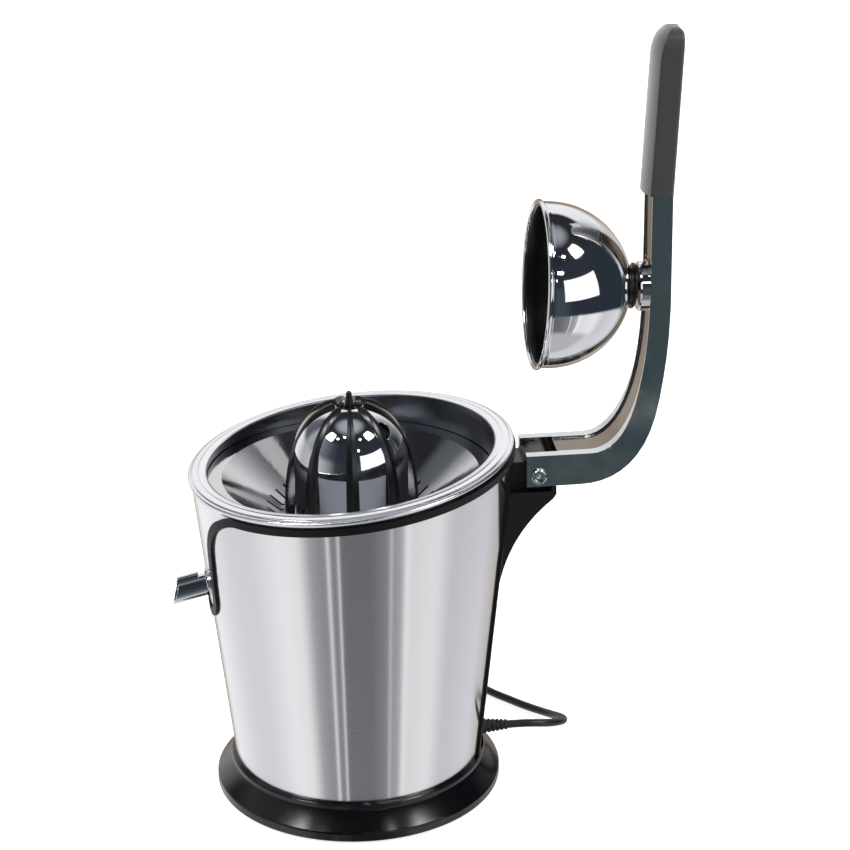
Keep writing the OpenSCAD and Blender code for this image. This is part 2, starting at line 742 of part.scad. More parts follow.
module pinion() {
    color("#c8a24a") translate([0, -centre_gap, gear_z]) linear_extrude(gear_w) difference() {
        rotate(90 + 180 / pinion_n) gear_outline(pinion_n, 0.12);
        circle(motor_shaft_r);
    }
}
module drive_gear() {
    color("#e3e0d4") difference() {
        union() {
            translate([0, 0, gear_z]) linear_extrude(gear_w) difference() {
                rotate(-90) gear_outline(gear_n, 0.12);
                for (a = [0:60:300]) rotate(a) translate([21, 0]) circle(6);
            }
            translate([0, 0, plate_z + plate_t + skin_gap])
                cylinder(r = gear_hub_r, h = gear_hub_top - plate_z - plate_t - skin_gap);
            translate([0, 0, plate_z - 1]) cylinder(r = journal_r, h = plate_t + 2);
        }
        translate([0, 0, plate_z - 10]) linear_extrude(60) hexagon(hex_af + 2 * run_gap);
    }
}
module drive_shaft() {
    color("#b5b8bb") {
        translate([0, 0, spindle_low_z]) linear_extrude(shoulder_z - spindle_low_z + 1) hexagon(hex_af);
        translate([0, 0, shoulder_z]) cylinder(r = shoulder_r, h = 3);
        translate([0, 0, shoulder_z + 1]) cylinder(r = shaft_r, h = cone_seat_z - shoulder_z - 1);
        translate([0, 0, cone_seat_z - 1]) linear_extrude(hex_top_z - cone_seat_z + 1) hexagon(hex_af);
    }
}
module shaft_bush() {
    color("#b08d45") ring(shaft_r + run_gap, hub_bore, bush_z, hub_top_z);
}
module switch_body() {
    color("#22252b") difference() {
        translate([-switch_hw, -switch_hd, switch_top_z - switch_h])
            cube([2 * switch_hw, 2 * switch_hd, switch_h]);
        translate([0, 0, switch_top_z - plunger_l]) cylinder(r = plunger_r + run_gap, h = 20);
    }
}
module switch_bracket() {
    color("#8c8f94") difference() {
        translate([-switch_hw - 2, -switch_hd - 1, switch_top_z - switch_h - 1.6])
            cube([2 * switch_hw + 4, 2 * switch_hd + 2, plate_z - switch_top_z + switch_h + 1.6]);
        translate([-switch_hw - skin_gap, -20, switch_top_z - switch_h])
            cube([2 * switch_hw + 2 * skin_gap, 40, plate_z - switch_top_z + switch_h + 1]);
    }
}
module switch_plunger() {
    color("#b3342c") translate([0, 0, spindle_low_z - slide_gap - plunger_l])
        cylinder(r = plunger_r, h = plunger_l);
}

// Swept round tubes
function unit(v) = v / norm(v);
function heading(path, i) =
    unit(path[min(i + 1, len(path) - 1)] - path[max(i - 1, 0)]);
function tube_ring(path, i, r, sides) =
    let (t = heading(path, i), side = unit(cross(t, [0, 0, 1])), up = cross(side, t))
    [for (k = [0:sides - 1]) path[i] + r * (cos(k * 360 / sides) * side + sin(k * 360 / sides) * up)];
module tube(path, r, sides) {
    n = len(path);
    points = [for (i = [0:n - 1]) each tube_ring(path, i, r, sides)];
    walls = [for (i = [0:n - 2], k = [0:sides - 1]) let (a = i * sides, b = (k + 1) % sides)
        each [[a + k, a + sides + b, a + b], [a + k, a + sides + k, a + sides + b]]];
    caps = [for (k = [1:sides - 2]) each [[0, k, k + 1],
        [(n - 1) * sides, (n - 1) * sides + k + 1, (n - 1) * sides + k]]];
    polyhedron(points, concat(walls, caps));
}

spring_r = 6.6;
spring_wire = 0.7;
spring_turns = 6;
spring_low = gear_hub_top + skin_gap + spring_wire;
spring_high = shoulder_z - skin_gap - spring_wire;
spring_path = [for (i = [0:spring_turns * 16]) let (a = i * 360 / 16)
    [spring_r * cos(a), spring_r * sin(a),
     spring_low + (spring_high - spring_low) * i / (spring_turns * 16)]];
module return_spring() {
    color("#9ea1a6") tube(spring_path, spring_wire, 6);
}

// Reamer: plated dome on a plain wall, black ridged ribs on it, a dished top round the spike
function rib_r(z) = cone_r * pow(max(0, 1 - pow(z / cone_h, 2.4)), 1 / 2.4);
rib_turn = -3;
rib_side = 37;
cone_t = 2.4;
dish_z = dome_z + dome_h - 1.5;
rib_in_r = 4.4;
module dome_side(t) {
    steps = 12;
    polygon(concat([[0, 0], [skirt_r - t, 0], [skirt_r - 0.6 - t, dome_z - 3.5]],
        [for (i = [0:steps - 1]) let (a = 90 * i / steps)
            [(dome_r - t) * cos(a), dome_z + (dome_h - t) * sin(a)]],
        [[0, dome_z + dome_h - t]]));
}
module rib_side_plate() {
    steps = 14;
    top = cone_h - 1.2;
    rotate([90, 0, 0]) linear_extrude(120, center = true) polygon(concat([[0, 0]],
        [for (i = [0:steps]) let (z = top * sin(90 * i / steps)) [rib_r(z) * cos(rib_side), z]],
        [[0, top]]));
}
module rib() {
    intersection() {
        rotate(rib_side) rib_side_plate();
        rotate(-rib_side) rib_side_plate();
        linear_extrude(cone_h) polygon([[rib_in_r, -rib_tip_w / 2], [cone_r + 2, -rib_w / 2],
            [cone_r + 2, rib_w / 2], [rib_in_r, rib_tip_w / 2]]);
    }
}
module reamer_ribs() {
    color("#17171a") translate([0, 0, cone_z]) difference() {
        for (i = [0:rib_n - 1]) rotate(rib_turn + i * 360 / rib_n) rib();
        translate([0, 0, -0.01]) rotate_extrude() dome_side(-run_gap);
        translate([0, 0, dish_z]) cylinder(r1 = rib_in_r, r2 = rib_in_r + 6.4, h = 6.5);
        translate([0, 0, dish_z + 6.49]) cylinder(r = rib_in_r + 6.4, h = 10);
    }
}
module reamer_cone() {
    color("#c3c8cf") translate([0, 0, cone_z]) difference() {
        union() {
            difference() {
                rotate_extrude() dome_side(0);
                translate([0, 0, -0.01]) rotate_extrude() dome_side(cone_t);
            }
            translate([0, 0, cone_seat_z - cone_z])
                cylinder(r = 8, h = dome_z + dome_h - cone_t + 0.5 - cone_seat_z + cone_z);
        }
        translate([0, 0, cone_seat_z - cone_z - 1]) linear_extrude(hex_top_z - cone_seat_z + 1.3)
            hexagon(hex_af + 2 * run_gap);
        translate([0, 0, dish_z]) cylinder(r1 = 6.5, r2 = 14, h = 5);
        translate([0, 0, spike_seat_z - cone_z]) cylinder(r = spike_shank_r, h = 10);
    }
}
spike_seat_z = hex_top_z + 3;
spike_shank_r = 2.5;
module cone_spike() {
    foot = cone_z + dish_z;
    tip = 1.7;
    color("#17171a") rotate_extrude() polygon(concat([[0, spike_seat_z], [spike_shank_r, spike_seat_z],
        [spike_shank_r, foot], [4.2, foot], [3.1, foot + 1.2], [2.8, foot + 2.4]],
        [for (a = [0:15:90]) [tip * cos(a), spike_z - tip + tip * sin(a)]]));
}

// Lever arm: fork, channel, curved neck and upright, with the grip on its tang
arm_outer = bezier([hinge_y + 24.5, fork_low_z], [hinge_y + 57.5, fork_low_z],
    [back_y - 2, hinge_z + 21], [back_y, hinge_z + 99], 14);
arm_inner = bezier([front_y - 0.4, hinge_z + 105], [front_y - 1.2, hinge_z + 40],
    [hinge_y + 50, fork_top_z], [hinge_y + 31.5, fork_top_z], 14);
module arm_side() {
    polygon(concat([[hinge_y - fork_front, fork_low_z]], arm_outer,
        [[back_y, grip_z], [front_y, grip_z]], arm_inner,
        [[hinge_y - fork_front, fork_top_z]]));
}
module arm_front() {
    taper = [for (i = [0:8]) let (t = i / 8)
        [fork_hw - (fork_hw - arm_hw) * ease(t), fork_top_z + 2 + 46 * t]];
    polygon(concat([[-fork_hw, fork_low_z - 1], [fork_hw, fork_low_z - 1]], taper,
        [[arm_hw, grip_z + 1], [-arm_hw, grip_z + 1]],
        [for (i = [8:-1:0]) [-taper[i][0], taper[i][1]]]));
}
module at_grip() {
    translate([0, back_y, grip_z]) rotate([-grip_lean, 0, 0]) children();
}
// Shallow recess along the arm's inner face, between two narrow edges
recess_t = 1.3;
recess_hw = arm_hw - 1.6;
recess_floor = bezier([front_y + recess_t - 0.4, hinge_z + 105], [front_y + recess_t - 1.2, hinge_z + 40],
    [hinge_y + 50.8, fork_top_z - recess_t], [hinge_y + 31.5, fork_top_z - recess_t], 14);
module arm_recess() {
    difference() {
        side_plate(-recess_hw, recess_hw) polygon(concat(
            [[front_y + recess_t - 0.4, grip_z - 2.5]], recess_floor,
            [[web_y - 1, fork_top_z - recess_t], [web_y - 1, fork_top_z + 30],
             [hinge_y + 30, fork_top_z + 60], [front_y - 20, grip_z - 2.5]]));
        at_boss() translate([0, 0, -30]) cylinder(r = boss_r + 1.5, h = 60);
    }
}
module lever_arm() {
    color("#c4c8cc") difference() {
        union() {
            intersection() {
                side_plate(-fork_hw - 1, fork_hw + 1) arm_side();
                translate([0, back_y + 20, 0]) rotate([90, 0, 0])
                    linear_extrude(arm_back + fork_front + 60) arm_front();
            }
            at_grip() translate([-tang_hw, -arm_t / 2 - tang_t / 2, -4]) cube([2 * tang_hw, tang_t, tang_l + 4]);
        }
        side_plate(-fork_gap, fork_gap) {
            translate([hinge_y - 40, fork_low_z - 5]) square([web_y - hinge_y + 40, 40]);
        }
        arm_recess();
        rod_x(bolt_r + run_gap / 2, -40, 40, hinge_y, hinge_z);
        at_boss() translate([0, 0, -30]) cylinder(r = spigot_r + run_gap / 2, h = 30);
        at_grip() rod_y(1.6, -30, 30, 0, tang_l * 0.6);
    }
}
module hinge_bolt() {
    color("#cfd2d5") difference() {
        union() {
            rod_x(bolt_r, -fork_hw - 5, fork_hw, hinge_y, hinge_z);
            translate([fork_hw, hinge_y, hinge_z]) rotate([0, 90, 0]) rotate_extrude()
                polygon([[0, 0], [bolt_head_r, 0], [bolt_head_r, 1], [bolt_head_r - 0.8, 1.8],
                    [bolt_head_r - 1.8, 2.2], [0, 2.2]]);
        }
        translate([fork_hw + 1.2, hinge_y, hinge_z]) rotate([0, 90, 0]) linear_extrude(4) hexagon(3);
    }
}
module hinge_nut() {
    color("#cfd2d5") translate([-fork_hw, hinge_y, hinge_z]) rotate([0, -90, 0]) difference() {
        rotate_extrude() polygon([[0, 0], [bolt_head_r, 0], [bolt_head_r, 3.4], [bolt_head_r - 1.2, 5.2],
            [bolt_head_r - 2.6, 6.2], [0, 6.4]]);
        translate([0, 0, -1]) cylinder(r = bolt_r, h = 6);
    }
}
module grip_outline() {
    edge = 3;
    deep = grip_d + grip_swell;
    swell_r = (grip_hw * grip_hw + grip_swell * grip_swell) / (2 * grip_swell);
    wide = asin((grip_hw - 0.8) / swell_r);
    polygon(concat([for (i = [-8:8]) let (a = wide * i / 8)
            [swell_r * sin(a), swell_r - deep - swell_r * cos(a)]],
        [[grip_hw, 1.2 - grip_d]],
        [for (a = [0:15:90]) [grip_hw - edge + edge * cos(a), edge * sin(a) - edge]],
        [for (a = [90:15:180]) [edge - grip_hw + edge * cos(a), edge * sin(a) - edge]],
        [[-grip_hw, 1.2 - grip_d]]));
}
module handle_grip() {
    crown = 5;
    nose = [10.8, 17];
    deep = grip_d + grip_swell;
    color("#3b3b3f") difference() {
        at_grip() translate([0, 0.8, 0]) intersection() {
            linear_extrude(grip_l) grip_outline();
            rotate([90, 0, 0]) linear_extrude(4 * grip_d, center = true) {
                translate([-grip_hw, -1]) square([2 * grip_hw, grip_l - crown + 1]);
                translate([crown - grip_hw, 0]) square([2 * (grip_hw - crown), grip_l]);
                for (s = [-1, 1]) translate([s * (grip_hw - crown), grip_l - crown]) circle(crown);
            }
            side_plate(-40, 40) polygon(concat([[1, -1], [1, grip_l - 4], [-0.2, grip_l - 1.2], [-3, grip_l]],
                [for (i = [10:-1:0]) let (a = 9 * i)
                    [nose[0] * (1 - cos(a)) - deep, grip_l - nose[1] * (1 - sin(a))]],
                [[1.6 - deep, -1]]));
        }
        at_grip() translate([-tang_hw - 0.1, -arm_t / 2 - tang_t / 2 - 0.1, -10])
            cube([2 * tang_hw + 0.2, tang_t + 0.2, tang_l + 10.2]);
        translate([-50, 0, grip_z - 50]) cube([100, 400, 50]);
        at_grip() rod_y(1.6, -arm_t / 2, 0.9, 0, tang_l * 0.6);
        at_grip() rod_y(3.2, -2.2, 10, 0, tang_l * 0.6);
    }
}
module grip_screw() {
    color("#6f7276") at_grip() {
        rod_y(3, -2.2, -0.4, 0, tang_l * 0.6);
        rod_y(1.6, -arm_t / 2 - tang_t / 2, -2, 0, tang_l * 0.6);
    }
}

// Press cup on its ball joint
module cup_socket() {
    back = back_y - cup_pivot_y - 2.4;
    color("#cfd2d5") difference() {
        union() {
            at_boss() rotate_extrude() polygon([[0, -8], [boss_r, -8], [boss_r, boss_front - 0.8],
                [boss_r - 0.8, boss_front], [0, boss_front]]);
        }
        at_boss() sphere(ball_r + run_gap);
        at_boss() cylinder(r1 = ball_r * 0.7, r2 = ball_r * 0.9, h = boss_front + 0.1);
        side_plate(-40, 40) arm_side();
    }
    color("#cfd2d5") difference() {
        at_boss() translate([0, 0, -back]) cylinder(r = spigot_r, h = back - 2);
        at_boss() sphere(ball_r + run_gap);
        at_boss() translate([0, 0, -back - 1]) cylinder(r = 2, h = 7);
    }
}
module socket_screw() {
    back = back_y - cup_pivot_y - 2.4;
    color("#8c8f94") at_boss() difference() {
        union() {
            translate([0, 0, -back - 2]) cylinder(r = spigot_r - 0.6, h = 2);
            translate([0, 0, -back]) cylinder(r = 2, h = 5);
        }
        translate([-0.5, -4, -back - 3]) cube([1, 8, 1.8]);
    }
}
function cup_curve(r, d, from, steps) = [for (i = [0:steps]) let (a = from + (90 - from) * i / steps)
    [r * sin(a), cup_plane - d * cos(a)]];
module press_cup() {
    bead = 1.5;
    start = asin(neck_spigot_r / cup_r);
    start_in = asin(neck_spigot_r / (cup_r - cup_t));
    mouth = cup_plane + cup_lip;
    outer = cup_curve(cup_r, cup_d, start, 14);
    inner = cup_curve(cup_r - cup_t, cup_d - cup_t, start_in, 14);
    bead_arc = [for (a = [-90:30:180]) [cup_r + bead * cos(a) - 0.2, mouth + bead * sin(a)]];
    color("#cdd1d6") at_cup() rotate_extrude() polygon(concat(outer,
        [[cup_r, mouth - bead]], bead_arc, [[cup_r - cup_t, mouth]],
        [for (i = [14:-1:0]) inner[i]]));
}
module cup_liner() {
    gap = 0.1;
    out_r = cup_r - cup_t - gap;
    out_d = cup_d - cup_t - gap;
    mouth = cup_plane + cup_lip - 0.6;
    outer = cup_curve(out_r, out_d, 0, 14);
    inner = cup_curve(out_r - liner_t, out_d - liner_t, 0, 14);
    color("#141417") at_cup() rotate_extrude() polygon(concat(outer, [[out_r, mouth],
        [out_r - liner_t, mouth]], [for (i = [14:-1:0]) inner[i]]));
}
module cup_neck() {
    step = neck_l / 3;
    color("#121214") at_cup() {
        difference() {
            rotate_extrude() polygon([[0, neck_back], [neck_r - 0.6, neck_back], [neck_r, neck_back + 0.5],
                [neck_r, neck_back + step], [neck_r - 1.2, neck_back + step],
                [neck_r - 1.2, neck_back + 1.4 * step], [neck_r + 0.3, neck_back + 1.4 * step],
                [neck_r + 0.3, neck_back + 2 * step], [neck_r - 1.4, neck_back + 2 * step],
                [neck_r - 1.4, neck_back + neck_l + 6], [0, neck_back + neck_l + 6]]);
            cup_hollow();
        }
        cylinder(r = 3, h = neck_back + 1);
        sphere(ball_r);
    }
}
// Space that the cup takes, with the hole in its crown left solid
module cup_hollow() {
    difference() {
        rotate_extrude() polygon(concat(cup_curve(cup_r + run_gap, cup_d + run_gap, 0, 40),
            [[0, cup_plane]]));
        cylinder(r = neck_spigot_r - run_gap, h = cup_plane - cup_d + cup_t - 0.3);
    }
}

// Strain relief, cord, coil, tie and plug
module strain_relief() {
    root = skin_r(cord_z);
    pitch = (relief_l - 4) / 6;
    ribs = [for (i = [0:5]) let (z = root + 2.4 + i * pitch, r = 4.6 - 0.28 * i)
        each [[r, z], [r, z + pitch * 0.55], [r - 0.8, z + pitch * 0.65], [r - 0.8, z + pitch * 0.95]]];
    color("#1a1a1c") difference() {
        translate([0, 0, cord_z]) rotate([-90, 0, 0]) rotate_extrude() polygon(concat(
            [[0, root - 8], [relief_hole + 1.2, root - 8],
            [relief_hole + 1.2, root - skin_t - skin_gap - housing_t - 0.8],
            [relief_hole - run_gap, root - skin_t - skin_gap - housing_t - 0.8],
            [relief_hole - run_gap, root - 0.8], [relief_hole + 0.8, root - 0.8],
            [relief_hole + 0.8, root + 2.1]], ribs, [[cord_r, relief_y - 1], [cord_r, relief_y], [0, relief_y]]));
        difference() {
            skin_band(-skin_t, 0.05, cord_z - 9, cord_z + 9);
            rod_y(relief_hole, 0, 120, 0, cord_z);
        }
    }
}
coil_turns = 2 * coil_layer + coil_climb;
function coil_point(t) =
    let (u = t < coil_layer ? t : (t < coil_layer + coil_climb ? coil_layer : t - coil_climb),
         r = u < coil_layer ? coil_out_r - u * coil_pitch : coil_in_r + (u - coil_layer) * coil_pitch,
         c = min(1, max(0, (t - coil_layer) / coil_climb)),
         a = 90 + t * 360)
    [coil_at[0] + r * cos(a), coil_at[1] + r * sin(a), coil_z + coil_pitch * ease(c)];
coil_steps = round(coil_turns * 24);
coil_path = concat([coil_point(0) + [cord_d, 0, 0]],
    [for (i = [0:coil_steps]) coil_point(i * coil_turns / coil_steps)],
    [coil_point(coil_turns) - [0, cord_d, 0]]);
coil_gap = min([for (i = [0:coil_steps], j = [i + 13:1:coil_steps])
    norm(coil_path[i] - coil_path[j])]) - cord_d;
lead_path = concat([[0, relief_y, cord_z]], cord_route, [coil_path[0]]);
tail_start = coil_path[len(coil_path) - 1];
tail_path = [tail_start, tail_start + [0, -6, -0.3], tail_start + [0, -11, -1],
    [plug_at[0], plug_at[1] + 5, plug_at[2]], plug_at];
function path_length(p) = [for (i = [1:len(p) - 1]) norm(p[i] - p[i - 1])] * [for (i = [1:len(p) - 1]) 1];
echo(coil_self_gap = coil_gap);
echo(cord_length = path_length(lead_path) + path_length(coil_path) + path_length(tail_path));
module power_cord() {
    color("#161618") tube(lead_path, cord_r, 10);
}
module cord_coil() {
    color("#161618") tube(coil_path, cord_r, 6);
}
module cord_tail() {
    color("#161618") tube(tail_path, cord_r, 10);
}
module cord_tie() {
    w = 8;
    reach_in = coil_in_r - cord_r - 1;
    reach_out = coil_out_r + cord_r - 2;
    high = coil_z + coil_pitch + cord_r + skin_gap;
    color("#0f0f10") translate([coil_at[0], coil_at[1] - w / 2, 0]) difference() {
        translate([reach_in - tie_t, 0, 0]) cube([reach_out - reach_in + 2 * tie_t, w, high + tie_t]);
        translate([reach_in, -1, tie_t]) cube([reach_out - reach_in, w + 2, high - tie_t]);
    }
}
module plug_body() {
    color("#161618") translate([plug_at[0], plug_at[1], 0]) intersection() {
        linear_extrude(plug_t) polygon([[-4, 0], [4, 0], [7, -8], [17.5, -16], [17.5, -37], [-17.5, -37],
            [-17.5, -16], [-7, -8]]);
        side_plate(-20, 20) polygon([[0, plug_t / 2 - 4], [-12, 0], [-37, 0], [-37, plug_t],
            [-12, plug_t], [0, plug_t / 2 + 4]]);
    }
}
module plug_pins() {
    color("#c9b26a") for (s = [-1, 1])
        rod_y(2, plug_at[1] - 56, plug_at[1] - 37, plug_at[0] + s * 9.3, plug_at[2]);
}

base_ring();
bottom_cover();
rubber_feet();
cover_screws();
inner_housing();
spout_mount();
body_sleeve();
edge_trim();
top_collar();
front_plate();
rear_spine();
juice_bowl();
strainer();
spout_seal();
spout();
hinge_bracket();
bracket_screws();
gear_plate();
plate_screws();
gear_motor();
motor_shaft();
pinion();
drive_gear();
drive_shaft();
return_spring();
shaft_bush();
switch_body();
switch_bracket();
switch_plunger();
reamer_cone();
reamer_ribs();
cone_spike();
lever_arm();
hinge_bolt();
hinge_nut();
handle_grip();
grip_screw();
cup_socket();
socket_screw();
press_cup();
cup_liner();
cup_neck();
strain_relief();
power_cord();
cord_coil();
cord_tail();
cord_tie();
plug_body();
plug_pins();
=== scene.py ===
import json
import math

import bmesh
import bpy
import numpy as np
from mathutils import Matrix, Vector


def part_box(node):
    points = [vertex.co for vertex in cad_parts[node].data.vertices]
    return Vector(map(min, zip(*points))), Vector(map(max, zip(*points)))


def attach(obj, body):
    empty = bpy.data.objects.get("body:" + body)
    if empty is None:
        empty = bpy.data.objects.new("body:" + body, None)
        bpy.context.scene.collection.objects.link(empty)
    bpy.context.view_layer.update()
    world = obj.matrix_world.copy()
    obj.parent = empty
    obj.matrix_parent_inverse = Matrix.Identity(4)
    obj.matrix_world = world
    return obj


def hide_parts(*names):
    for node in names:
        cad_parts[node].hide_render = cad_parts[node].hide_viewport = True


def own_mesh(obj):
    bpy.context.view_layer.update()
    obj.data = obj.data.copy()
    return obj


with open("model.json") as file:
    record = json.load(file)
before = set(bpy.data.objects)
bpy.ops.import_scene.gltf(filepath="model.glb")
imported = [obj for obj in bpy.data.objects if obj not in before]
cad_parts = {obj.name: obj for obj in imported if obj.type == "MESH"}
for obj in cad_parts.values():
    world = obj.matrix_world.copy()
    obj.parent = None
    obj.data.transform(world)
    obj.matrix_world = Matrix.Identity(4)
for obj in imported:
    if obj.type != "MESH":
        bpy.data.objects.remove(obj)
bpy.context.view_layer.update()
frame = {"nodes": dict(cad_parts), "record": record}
scene = bpy.context.scene
scene.view_settings.view_transform = "Standard"
mm = 0.001

# Camera: long lens, a little towards the spout from square on to the side, looking down by 22 degrees
cameraSetup = {
    "lens": 110.12, "sensor": 36.0,  # millimetres
    "turn": 6.0, "drop": 22.09, "roll": -0.88,  # degrees
    "distance": 1.5378, "aside": 0.04458, "height": 0.2325,  # metres
}


def makeCamera(s):
    turn, drop, roll = (math.radians(s[k]) for k in ("turn", "drop", "roll"))
    back = Vector((math.cos(turn) * math.cos(drop), -math.sin(turn) * math.cos(drop), math.sin(drop)))
    right = Vector((math.sin(turn), math.cos(turn), 0))
    up = back.cross(right)
    across = right * math.cos(roll) + up * math.sin(roll)
    along = up * math.cos(roll) - right * math.sin(roll)
    data = bpy.data.cameras.new("camera")
    data.lens, data.sensor_width = s["lens"], s["sensor"]
    camera = bpy.data.objects.new("camera", data)
    scene.collection.objects.link(camera)
    place = Matrix((across, along, back)).transposed().to_4x4()
    place.translation = back * s["distance"] + right * s["aside"] + Vector((0, 0, s["height"]))
    camera.matrix_world = place
    scene.camera = camera


makeCamera(cameraSetup)


# sRGB hex to linear colour
def hexLinear(code):
    srgb = np.array([int(code[i:i + 2], 16) for i in (1, 3, 5)]) / 255
    linear = np.where(srgb <= 0.04045, srgb / 12.92, ((srgb + 0.055) / 1.055) ** 2.4)
    return (*linear.tolist(), 1.0)


# One node with its settings, its fixed inputs and its links
def addNode(tree, kind, settings=(), inputs=()):
    node = tree.nodes.new("ShaderNode" + kind)
    for name, value in dict(settings).items():
        setattr(node, name, value)
    for key, value in dict(inputs).items():
        if isinstance(value, bpy.types.NodeSocket):
            tree.links.new(value, node.inputs[key])
        else:
            node.inputs[key].default_value = value
    return node


# Rows and columns of points become one closed skin of quads, merged at poles and seams;
# with one more leading axis, that many skins in one piece
def makeSkin(name, points, wrapRows=False, crease=40):
    points = points.reshape((-1,) + points.shape[-3:])
    index = np.arange(points.size // 3).reshape(points.shape[:3])
    index = np.concatenate([index, index[:, :, :1]], axis=2)
    if wrapRows:
        index = np.concatenate([index, index[:, :1]], axis=1)
    corners = [index[:, :-1, :-1], index[:, :-1, 1:], index[:, 1:, 1:], index[:, 1:, :-1]]
    quads = np.stack(corners, axis=-1)
    mesh = bpy.data.meshes.new(name)
    mesh.from_pydata(points.reshape(-1, 3).tolist(), [], quads.reshape(-1, 4).tolist())
    work = bmesh.new()
    work.from_mesh(mesh)
    bmesh.ops.remove_doubles(work, verts=work.verts, dist=1e-7)
    bmesh.ops.recalc_face_normals(work, faces=work.faces)
    work.to_mesh(mesh)
    work.free()
    return finishSkin(name, mesh, crease)


# Smooth shading up to the crease angle, and an object for the mesh
def finishSkin(name, mesh, crease):
    mesh.polygons.foreach_set("use_smooth", np.ones(len(mesh.polygons), dtype=bool))
    mesh.set_sharp_from_angle(angle=math.radians(crease))
    piece = bpy.data.objects.new(name, mesh)
    scene.collection.objects.link(piece)
    return piece


# The first and last row, each drawn together to its own middle, close an open skin
def closeEnds(rows):
    first, last = (np.repeat(row.mean(axis=1, keepdims=True), rows.shape[1], axis=1)
                   for row in (rows[:1], rows[-1:]))
    return np.concatenate([first, rows, last])


# Corners (radius, height, rounding) become a profile: each corner is a parabola between points set
# back by its rounding, at most a share of the shorter edge, with a holding point just outside so that
# the flats stay flat
def roundProfile(corners, closed=True, steps=6, most=0.45, hold=1.1):
    table = np.array(corners, dtype=float) * mm
    spot, rounding = table[:, :2], table[:, 2]
    t = np.linspace(0, 1, steps + 1)[:, None]
    out = []
    for i in range(len(spot)):
        if rounding[i] == 0 or (not closed and i in (0, len(spot) - 1)):
            out.append(spot[i:i + 1])
            continue
        before, after = spot[i - 1] - spot[i], spot[(i + 1) % len(spot)] - spot[i]
        lengths = np.linalg.norm(before), np.linalg.norm(after)
        before, after = before / lengths[0], after / lengths[1]
        reach = min(rounding[i], most * lengths[0], most * lengths[1])
        start, end = spot[i] + before * reach, spot[i] + after * reach
        arc = (1 - t) ** 2 * start + 2 * t * (1 - t) * spot[i] + t ** 2 * end
        out += [(spot[i] + before * hold * reach)[None], arc, (spot[i] + after * hold * reach)[None]]
    return np.concatenate(out)


# A profile of (radius, height) carried round an axis: point = centre + radius * ring + height * axis
def revolve(name, profile, steps, centre=(0, 0, 0), axis=(0, 0, 1), wrapRows=False):
    axis = np.array(axis, dtype=float)
    axis /= np.linalg.norm(axis)
    side = np.cross((1.0, 0, 0), axis) if abs(axis[0]) < 0.9 else np.cross((0, 1.0, 0), axis)
    side /= np.linalg.norm(side)
    angle = np.linspace(0, 2 * np.pi, steps, endpoint=False)
    ring = np.cos(angle)[:, None] * side + np.sin(angle)[:, None] * np.cross(axis, side)
    points = np.array(centre) + profile[:, 0, None, None] * ring + profile[:, 1, None, None] * axis
    return makeSkin(name, points, wrapRows)


# A round section carried along a path: point = path + radius * (cos * side + sin * top)
def sweepTube(name, path, radius, sides):
    along = np.gradient(path, axis=0)
    along /= np.linalg.norm(along, axis=1)[:, None]
    side = np.cross(along, (0, 0, 1.0))
    side /= np.linalg.norm(side, axis=1)[:, None]
    top = np.cross(side, along)
    angle = np.linspace(0, 2 * np.pi, sides, endpoint=False)
    points = path[:, None] + radius * (np.cos(angle)[None, :, None] * side[:, None]
                                       + np.sin(angle)[None, :, None] * top[:, None])
    ends = [np.repeat(path[i:i + 1, None], sides, axis=1) for i in (0, len(path) - 1)]
    return makeSkin(name, np.concatenate([ends[0], points, ends[1]]))


# Cord: out of the strain relief, down to the table, round behind the body, wound into a tied coil
cordSetup = {
    "diameter": 5.0, "sides": 14, "perTurn": 36, "perStep": 6,
    "exit": (0, 96.1486, 26),
    "route": [(0, 104, 26), (0, 111, 25.6), (-2, 119, 24), (-7, 126, 21.4), (-15, 131, 17.8),
              (-25, 133, 13.6), (-36, 131.5, 9.5), (-47, 127, 6), (-57, 120.5, 4), (-66, 112.5, 3.4),
              (-75, 104.5, 3.4), (-84, 96.5, 3.4), (-94, 89.5, 3.5), (-104, 85, 3.6), (-112, 83, 3.7)],
    "coilCentre": (-124, 46), "coilMiddle": 58.0, "coilHeight": 3.7,
    "pitch": 6.3, "layer": 2.375, "climb": 0.5,  # from turn to turn; turns in a layer; turns to climb up
    "tail": [(0, -6, -0.3), (0, -11, -1)], "plugStraight": (0, 5, 0), "plugEnd": (-160.48, 20, 7.5),
}


# Coil: angle 90 + 360 t, radius falls by the pitch a turn, one layer inwards, then one outwards on top
def coilPoints(s):
    turns = 2 * s["layer"] + s["climb"]
    t = np.linspace(0, turns, round(turns * s["perTurn"]) + 1)
    outer = s["coilMiddle"] / 2 + s["layer"] * s["pitch"] / 2
    inner = s["coilMiddle"] / 2 - s["layer"] * s["pitch"] / 2
    flat = np.where(t < s["layer"], t, np.maximum(s["layer"], t - s["climb"]))
    radius = np.where(flat < s["layer"], outer - flat * s["pitch"],
                      inner + (flat - s["layer"]) * s["pitch"])
    rise = np.clip((t - s["layer"]) / s["climb"], 0, 1)
    angle = np.radians(90 + 360 * t)
    return np.stack([s["coilCentre"][0] + radius * np.cos(angle),
                     s["coilCentre"][1] + radius * np.sin(angle),
                     s["coilHeight"] + s["pitch"] * rise * rise * (3 - 2 * rise)], axis=1)


